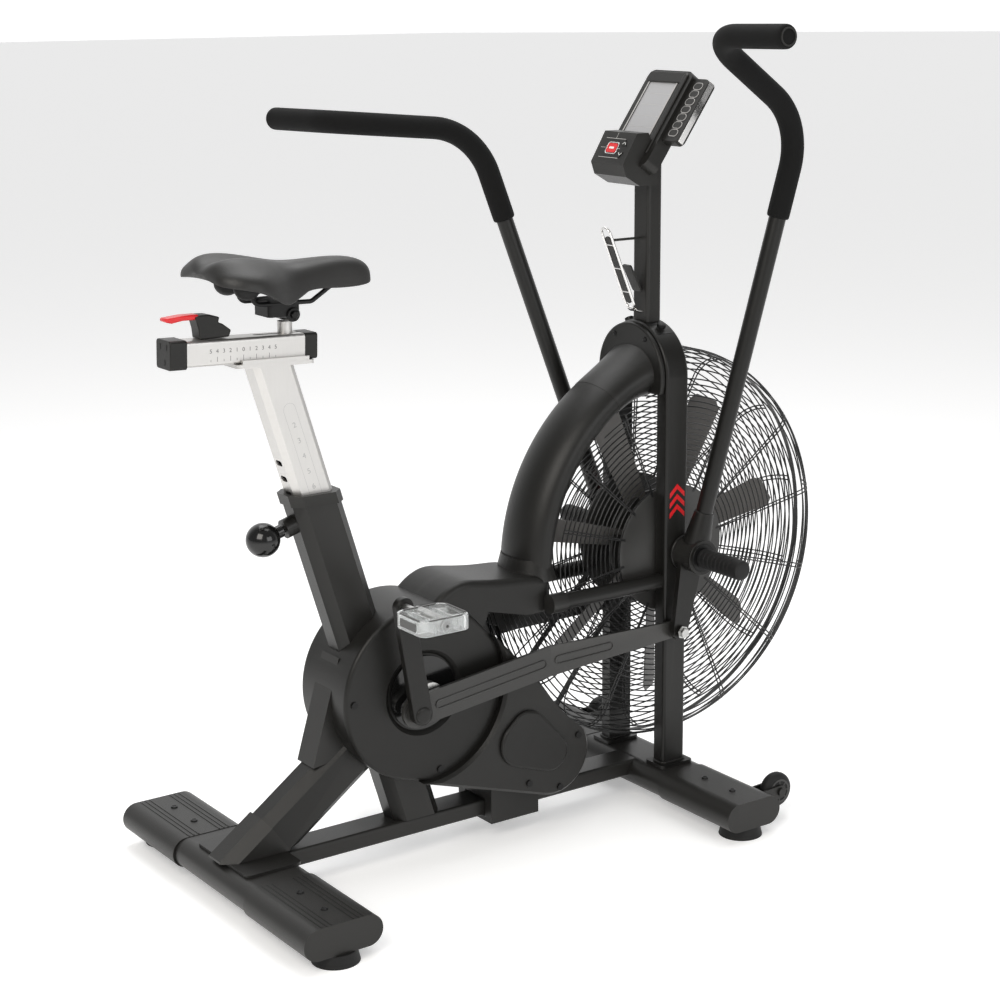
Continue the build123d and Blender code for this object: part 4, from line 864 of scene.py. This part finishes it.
# ---- frame and cover details
FORK_X, LEG_INNER, LEG_OUTER, ARCH_Z = 775, 62, 87, 734.5
CHEVRON = [(0, 9), (15.5, -6), (15.5, 2.5), (0, 17.5), (-15.5, 2.5), (-15.5, -6)]
CHEVRON_Z, CHEVRON_PITCH = 506, 17
ARCH_BOLT_Y = 40
ARCH_BOLT = [(0, 1), (0, 7.8), (4.6, 7.8), (5.6, 6), (5.6, 1)]
HOOD_X, HOOD_RADIUS, HOOD_DEPTH = 742.5, 0.0846, 0.009
HOOD_SCREW = [(-1, 1), (-1, 4.5), (1.2, 4.2), (1.8, 3), (0.8, 2), (0.8, 0.5)]
SHROUD_RADIUS, SHROUD_HALF, SHROUD_SWEEP = 0.3235, (0.033, 0.056), 71.5
FLARE_ROWS, FLARE_SIDES, FLARE_REACH, FLARE_GROW = 9, 64, 16, 0.0125
PAD_CIRCLES = ((0, 0, 0.040), (0.012, 0.016, 0.036), (0.058, -0.028, 0.032))
END_COVER_TOP, END_COVER_Y = 0.0668, 205
COVER_SCREW = [(0, 1), (0, 5.8), (1.6, 5.2), (2.2, 4), (1.4, 2.4), (1.4, 0.5)]
TYRE = [(11, 4.2), (11, 20.5), (10.4, 22.2), (9.6, 24.5), (7.5, 27.8), (4.5, 29.4)]
TYRE_RADIUS = 30
HUB_BOSS = [(0, 4.5), (0, 8.5), (0.8, 8.2), (0.8, 4.5)]
SPOKE = [(8, -1.1), (18.2, -1.1), (18.2, 1.1), (8, 1.1)]


def add_fork_marks():
    marks = Shape()
    for sign in SIDES.values():
        for index in range(3):
            base = at(FORK_X + 1, LEG_OUTER * sign, CHEVRON_Z + CHEVRON_PITCH * index)
            marks.prism(mm(CHEVRON), base, (-sign, 0, 0), (0, 0, 1), 0.0003)
    marks.make("fork_chevrons", red, "root", "red_plastic", smooth=False)
    bolts = Shape()
    rise = math.sqrt(LEG_OUTER**2 - ARCH_BOLT_Y**2)
    for sign in SIDES.values():
        outward = Vector((0, ARCH_BOLT_Y * sign, rise)).normalized()
        across = Vector((0, rise, -ARCH_BOLT_Y * sign)).normalized()
        place = at(FORK_X, ARCH_BOLT_Y * sign, ARCH_Z + rise)
        pad = rounded_box(0.036, 0.030, 0.004)
        bolts.prism(pad, place - outward * 0.0008, (1, 0, 0), -across, 0.004)
        bolts.lathe(place + outward * 0.003, outward, mm(ARCH_BOLT), 24)
    bolts.make("arch_bolts", dark_steel, "root", "steel")
    welds = Shape()
    for sign in SIDES.values():
        corner = at(FORK_X, sign * (LEG_INNER + LEG_OUTER) / 2, 72.6)
        ring = [corner + Vector((u, v, 0)) for u, v in rounded_box(0.048, 0.027, 0.006, 6)]
        radii = [0.0022 + 0.0005 * math.sin(2.1 * step) for step in range(len(ring))]
        welds.tube(ring, radii, 8, closed=True)
    welds.make("leg_welds", paint, "root", "frame_paint", angle=60)


def add_hood():
    """The moulded end of the shroud: a round plate behind the arch and the flare round the tube."""
    hood = Shape()
    turns = [math.radians(turn) for turn in range(-22, 203, 5)]
    plate = [(HOOD_RADIUS * math.cos(t), HOOD_RADIUS * math.sin(t)) for t in turns]
    hood.prism(plate, at(HOOD_X, 0, ARCH_Z), (0, 1, 0), (0, 0, 1), HOOD_DEPTH)
    hood.make("shroud_hood", plastic, "root", "cover_plastic", bevel=0.003)
    flare = Shape()
    for row in range(FLARE_ROWS):
        part = row / (FLARE_ROWS - 1)
        angle = math.radians(SHROUD_SWEEP + 0.8 - FLARE_REACH * (1 - part))
        grow = 0.0005 + FLARE_GROW * part**2.6
        radial = Vector((-math.cos(angle), 0, math.sin(angle)))
        centre = SHROUD_CENTRE + radial * SHROUD_RADIUS
        for u, v in circle(1, FLARE_SIDES):
            across = Vector((0, (SHROUD_HALF[1] + grow) * v, 0))
            place = centre + radial * (SHROUD_HALF[0] + grow) * u + across
            place.x = min(place.x, REAR_X + 0.7515)
            flare.verts.append(place)
    flare.skin(0, FLARE_ROWS, FLARE_SIDES)
    flare.make("shroud_flare", plastic, "root", "cover_plastic", angle=60)
    screws = Shape()
    for y in (-40, 40):
        screws.lathe(at(742.6, y, 796), (-1, 0, 0), mm(HOOD_SCREW), 20)
    screws.make("hood_screws", dark_steel, "root", "steel")


def add_cover_pads():
    """The raised pad on each cover's front lobe."""
    pad = Shape()
    for sign in SIDES.values():
        outline = hull(*PAD_CIRCLES)
        if sign > 0:
            outline = [(-a, b) for a, b in reversed(outline)]
        pad.prism(outline, at(458, 83.5 * sign, 174), (-sign, 0, 0), (0, 0, 1), 0.0085)
    pad.make("cover_pads", plastic, "root", "cover_plastic", bevel=0.0065)


def add_end_cover_ribs():
    """Ribs on the rear end covers, and two screws on each of the four."""
    ribs, screws = Shape(), Shape()
    for x, offsets in ((0, (-34, -26, -18, 18, 26, 34)), (FORK_X, ())):
        for sign in SIDES.values():
            for offset in offsets:
                place = at(x, END_COVER_Y * sign, 0) + Vector((0, 0, END_COVER_TOP - 0.0004))
                rib = moved(rounded_box(0.0032, 0.176, 0.0015, 3), offset / 1000, 0)
                ribs.prism(rib, place, *LEVEL, 0.0012)
            for y in (170, 240):
                place = at(x, y * sign, 0) + Vector((0, 0, END_COVER_TOP))
                screws.lathe(place, (0, 0, 1), mm(COVER_SCREW), 24)
    ribs.make("end_cover_ribs", plastic, "root", "cover_plastic", bevel=0.0005)
    screws.make("end_cover_screws", dark_steel, "root", "steel")


def add_wheel_hub(side, sign):
    """A round tyre and a spoked hub on each transport wheel."""
    centre = middle(f"{side}_transport_wheel")
    tyre = Shape()
    profile = [(-along, radius) for along, radius in TYRE] + [(0, TYRE_RADIUS)] + TYRE[::-1]
    tyre.lathe(centre, (0, 1, 0), mm(profile), 64)
    tyre.make(f"{side}_tyre", rubber, f"{side}_wheel", "wheel_rubber",
              replaces=(f"{side}_transport_wheel",))
    hub = Shape()
    for end in (-1, 1):
        outward = Vector((0, end, 0))
        face = centre + outward * 0.0112
        hub.band(circle(0.0205), circle(0.0175), face - outward * 0.0004, (-end, 0, 0), (0, 0, 1), 0.0009)
        hub.lathe(face - outward * 0.0003, outward, mm(HUB_BOSS), 32)
        for index in range(8):
            turn = 2 * math.pi * index / 8
            spoke = ray(turn)
            beside = Vector((-math.sin(turn), 0, math.cos(turn)))
            hub.prism(mm(SPOKE), face - outward * 0.0003, spoke, beside * -end, 0.0008)
    hub.make(f"{side}_wheel_hub", disc_paint, f"{side}_wheel", "wheel_rubber", bevel=0.0002)


add_fork_marks()
add_hood()
add_cover_pads()
add_end_cover_ribs()
for side, sign in SIDES.items():
    add_wheel_hub(side, sign)


# ---- console details
WINDOW_MIDDLE = (-0.008, -0.004)
WING_DEPTH = 0.006
WING_KEY_U, WING_KEY_TOP, WING_KEY_PITCH = 0.075, 0.040, 0.0145
START_KEY_MIDDLE = (-0.004, -0.001)
POD_LINES = [  # across, up, width and height in millimetres
    (-4, 16, 50, 0.8), (-4, -18, 50, 0.8), (-27, -1, 12, 0.8), (-4, 21.5, 0.8, 10), (13.5, -1, 6, 0.8),
]
ARROWS = (("up_key", 0.008, 1), ("down_key", -0.010, -1))


def box_outline(u, v, width, height):
    """A plain rectangle from millimetres, about its middle."""
    half_u, half_v = width / 2, height / 2
    corners = ((-half_u, -half_v), (half_u, -half_v), (half_u, half_v), (-half_u, half_v))
    return mm([(u + a, v + b) for a, b in corners])


def add_console():
    origin, across, up, out = CONSOLE
    pod, pod_across, pod_up, pod_out = POD
    trim = Shape()
    trim.band(moved(rounded_box(0.074, 0.116, 0.005), *WINDOW_MIDDLE),
              moved(rounded_box(0.069, 0.111, 0.004), *WINDOW_MIDDLE), origin, across, up, 0.0006)
    for index in range(7):
        place = (WING_KEY_U, WING_KEY_TOP - WING_KEY_PITCH * index)
        trim.band(moved(stadium(0.0212, 0.013), *place), moved(stadium(0.0192, 0.011), *place),
                  origin - out * WING_DEPTH, across, up, 0.0008)
    trim.make("console_outlines", grey_print, "root", "frame_paint", smooth=False)
    silver = Shape()
    edge = moved(rounded_box(0.0022, 0.112, 0.001, 3), 0.0935, -0.004)
    silver.prism(edge, origin - out * 0.0185, across, up, 0.0105)
    silver.band(moved(rounded_box(0.029, 0.021, 0.005), *START_KEY_MIDDLE),
                moved(rounded_box(0.026, 0.018, 0.0045), *START_KEY_MIDDLE), pod, pod_across, pod_up, 0.0005)
    silver.make("console_strip", bright, "root", "aluminium", bevel=0.0004)
    ridge = Shape()
    for outline, height in ((moved(rounded_box(0.011, 0.15, 0.005), 0.0415, -0.018), 0.004),
                            (moved(rounded_box(0.098, 0.02, 0.006), -0.004, 0.050), 0.0028)):
        ridge.prism(outline, origin - out * 0.001, across, up, height)
    ridge.make("console_ridge", plastic, "root", "cover_plastic", bevel=0.0018)
    lines = Shape()
    for line in POD_LINES:
        lines.prism(box_outline(*line), pod, pod_across, pod_up, 0.0002)
    lines.make("pod_lines", grey_print, "root", "frame_paint", smooth=False)
    label = Shape()
    mark = moved(rounded_box(0.012, 0.0035, 0.001), *START_KEY_MIDDLE)
    label.prism(mark, pod + pod_out * 0.00102, pod_across, pod_up, 0.0002)
    label.make("start_key_mark", white, "start_key", "key_white", smooth=False)
    for key, v, tip in ARROWS:
        arrow = Shape()
        ends = [(0.0188, v - tip * 0.0015), (0.023, v + tip * 0.0025), (0.0272, v - tip * 0.0015)]
        arrow.tube([pod + pod_out * 0.0011 + pod_across * a + pod_up * b for a, b in ends], 0.00045, 8)
        arrow.make(f"{key}_mark", white, key, "key_white")
    segments = Shape()
    for row in range(5):
        line = box_outline(-8, 40.25 - 21 * row, 60, 0.5)
        segments.prism(line, origin - out * 0.00128, across, up, 0.0001)
    segments.make("display_lines", grey_print, "root", "screen", smooth=False)


add_console()


# ---- bottle bracket
LOOP_WIRE, LOOP_HALF = 0.0022, 9


def add_bottle_bracket():
    """A bright wire loop on a dark backing strip, stayed to the mast."""
    head, foot = at(688, 0, 980.7), at(746.5, 0, 840)
    down = (foot - head).normalized()
    outward = down.cross(Vector((0, 1, 0)))
    length = (foot - head).length
    loop = Shape()
    ring = [(head + foot) / 2 + Vector((0, u, 0)) + down * v for u, v in stadium(0.0225, length - 0.006)]
    loop.tube(ring, LOOP_WIRE, 10, closed=True)
    for y in (-LOOP_HALF, LOOP_HALF):
        loop.tube(rounded([at(746, y, 842), at(752, y, 838), at(762, y, 837)], (0.01,)), LOOP_WIRE, 10)
    for part in (0.22, 0.5, 0.78):
        cross = head.lerp(foot, part)
        loop.tube([cross - Vector((0, 0.0105, 0)), cross + Vector((0, 0.0105, 0))], 0.0016, 8)
    loop.make("bottle_loop", bright, "root", "aluminium", replaces=("bottle_bracket",), angle=60)
    back = Shape()
    back.prism(stadium(0.0155, length * 0.8), head.lerp(foot, 0.52) + outward * 0.0012, (0, 1, 0), down,
               0.0022)
    top, bottom = at(720, 0, 947), at(748, 0, 893)
    back.prism(rounded_box(0.022, 0.05, 0.003), bottom, (0, 1, 0), bottom - top, 0.003)
    back.tube([at(697.5, 0, 957), at(761, 0, 957)], LOOP_WIRE, 10)
    back.make("bottle_backing", plastic, "root", "cover_plastic")


add_bottle_bracket()


# ---- fan wheel
BLADES, FIRST_BLADE = 7, 12
BLADE_REACH = 0.262
BLADE_PITCH = math.radians(32)
BLADE_EDGE = [(0.028, 0.014), (0.09, 0.019), (BLADE_REACH - 0.012, 0.027), (BLADE_REACH, 0.018)]
HUB_START_Y = -0.044
FAN_HUB = [(0, 8.6), (0, 26), (2, 30), (34, 30), (36, 34), (36, 88), (37.5, 90), (42, 90), (43.5, 88),
           (43.5, 34), (46, 30), (78, 30), (80, 20), (83, 20), (83, 36), (84.5, 36), (86, 34), (90, 34),
           (91.5, 36), (93, 36), (93, 8.6)]


def add_fan():
    """Broad pitched blades on a disc, with the hub and the belt pulley."""
    wheel = Shape()
    blade = [(along, -half) for along, half in BLADE_EDGE] + BLADE_EDGE[::-1]
    for index in range(BLADES):
        angle = math.radians(360 / BLADES * index + FIRST_BLADE)
        out = ray(angle)
        level = Vector((-math.sin(angle), 0, math.cos(angle)))
        pitched = level * math.cos(BLADE_PITCH) + Vector((0, math.sin(BLADE_PITCH), 0))
        base = FAN + Vector((0, -0.004, 0)) - out.cross(pitched) * 0.0008
        wheel.prism(blade, base, out, pitched, 0.0016)
    wheel.make("fan_blades", blade_paint, "fan", "fan_metal", bevel=0.0004)
    hub = Shape()
    hub.lathe(FAN + Vector((0, HUB_START_Y, 0)), (0, 1, 0), mm(FAN_HUB), 64)
    hub.make("fan_hub", disc_paint, "fan", "pulley_metal", replaces=("fan_wheel",), angle=30)


add_fan()


# ---- camera, light, floor
CAMERA_PLACE = Vector((REAR_X - 1.41398, -2.73824, 1.38077))
CAMERA_FORWARD = Vector((0.57077, 0.78684, -0.23473))
CAMERA_RIGHT = Vector((0.80911, -0.58765, -0.00241))
SENSOR, LENS, FAR_CLIP = 36, 76.894, 50
LENS_SHIFT = (-0.0466, -0.01264)
FLOOR_REACH = 40
FLOOR_GLOW = 0.32
WORLD_FACING = (0.59, 0.81, 0)
WORLD_SPAN, WORLD_GLOW = (0.1, 0.65), (0.28, 1.1)


def add_camera():
    """The camera at the viewing place, with its axes given as rows."""
    data = bpy.data.cameras.new("camera")
    eye = add_object("camera", data)
    up = CAMERA_RIGHT.cross(CAMERA_FORWARD)
    turn = Matrix((CAMERA_RIGHT, up, -CAMERA_FORWARD)).transposed().to_4x4()
    eye.matrix_world = Matrix.Translation(CAMERA_PLACE) @ turn
    data.sensor_width = SENSOR
    data.lens = LENS
    data.shift_x, data.shift_y = LENS_SHIFT
    data.clip_end = FAR_CLIP
    bpy.context.scene.camera = eye


def add_light(name, place, aim, size, power, tint=(1, 1, 1)):
    data = bpy.data.lights.new(name, "AREA")
    data.shape = "RECTANGLE"
    data.size, data.size_y = size
    data.energy = power
    data.color = tint
    lamp = add_object(name, data)
    lamp.location = place
    lamp.rotation_euler = (Vector(aim) - Vector(place)).to_track_quat("-Z", "Y").to_euler()


def add_stage():
    """A pale floor that fades into a glowing backdrop."""
    floor = Shape()
    corners = [(FLOOR_REACH * a, FLOOR_REACH * b) for a, b in ((-1, -1), (1, -1), (1, 1), (-1, 1))]
    floor.prism(corners, (0, 0, -0.002), *LEVEL, 0.0018)
    mesh = bpy.data.meshes.new("floor")
    mesh.from_pydata([tuple(v) for v in floor.verts], [], floor.faces)
    ground = add_object("floor", mesh)
    made, nodes, links, shader = node_material("pale_floor")
    put(shader, Base_Color=(0.93, 0.93, 0.93, 1), Roughness=0.85, Emission_Color=(1, 1, 1, 1),
        Emission_Strength=FLOOR_GLOW)
    mesh.materials.append(made)
    world = bpy.data.worlds.new("studio")
    world.use_nodes = True
    nodes, links = world.node_tree.nodes, world.node_tree.links
    put(nodes["Background"], Color=(1, 1, 1, 1))
    place = nodes.new("ShaderNodeTexCoord")
    facing = nodes.new("ShaderNodeVectorMath")
    facing.operation = "DOT_PRODUCT"
    facing.inputs[1].default_value = WORLD_FACING
    links.new(place.outputs["Generated"], facing.inputs[0])
    glow = spread(nodes, links, facing.outputs["Value"], *WORLD_GLOW, WORLD_SPAN)
    links.new(glow, nodes["Background"].inputs["Strength"])
    bpy.context.scene.world = world


add_camera()
add_stage()
bpy.context.scene.view_settings.view_transform = "Standard"
add_light("key", (-2.6, -1.6, 2.6), (0, 0, 0.7), (2.0, 2.0), 70, (1.0, 0.965, 0.91))
add_light("fill", (0.6, -3.4, 1.6), (0, 0, 0.6), (2.2, 1.6), 30)
add_light("top", (0.4, 0.6, 3.4), (0, 0, 0.5), (2.6, 2.6), 60)
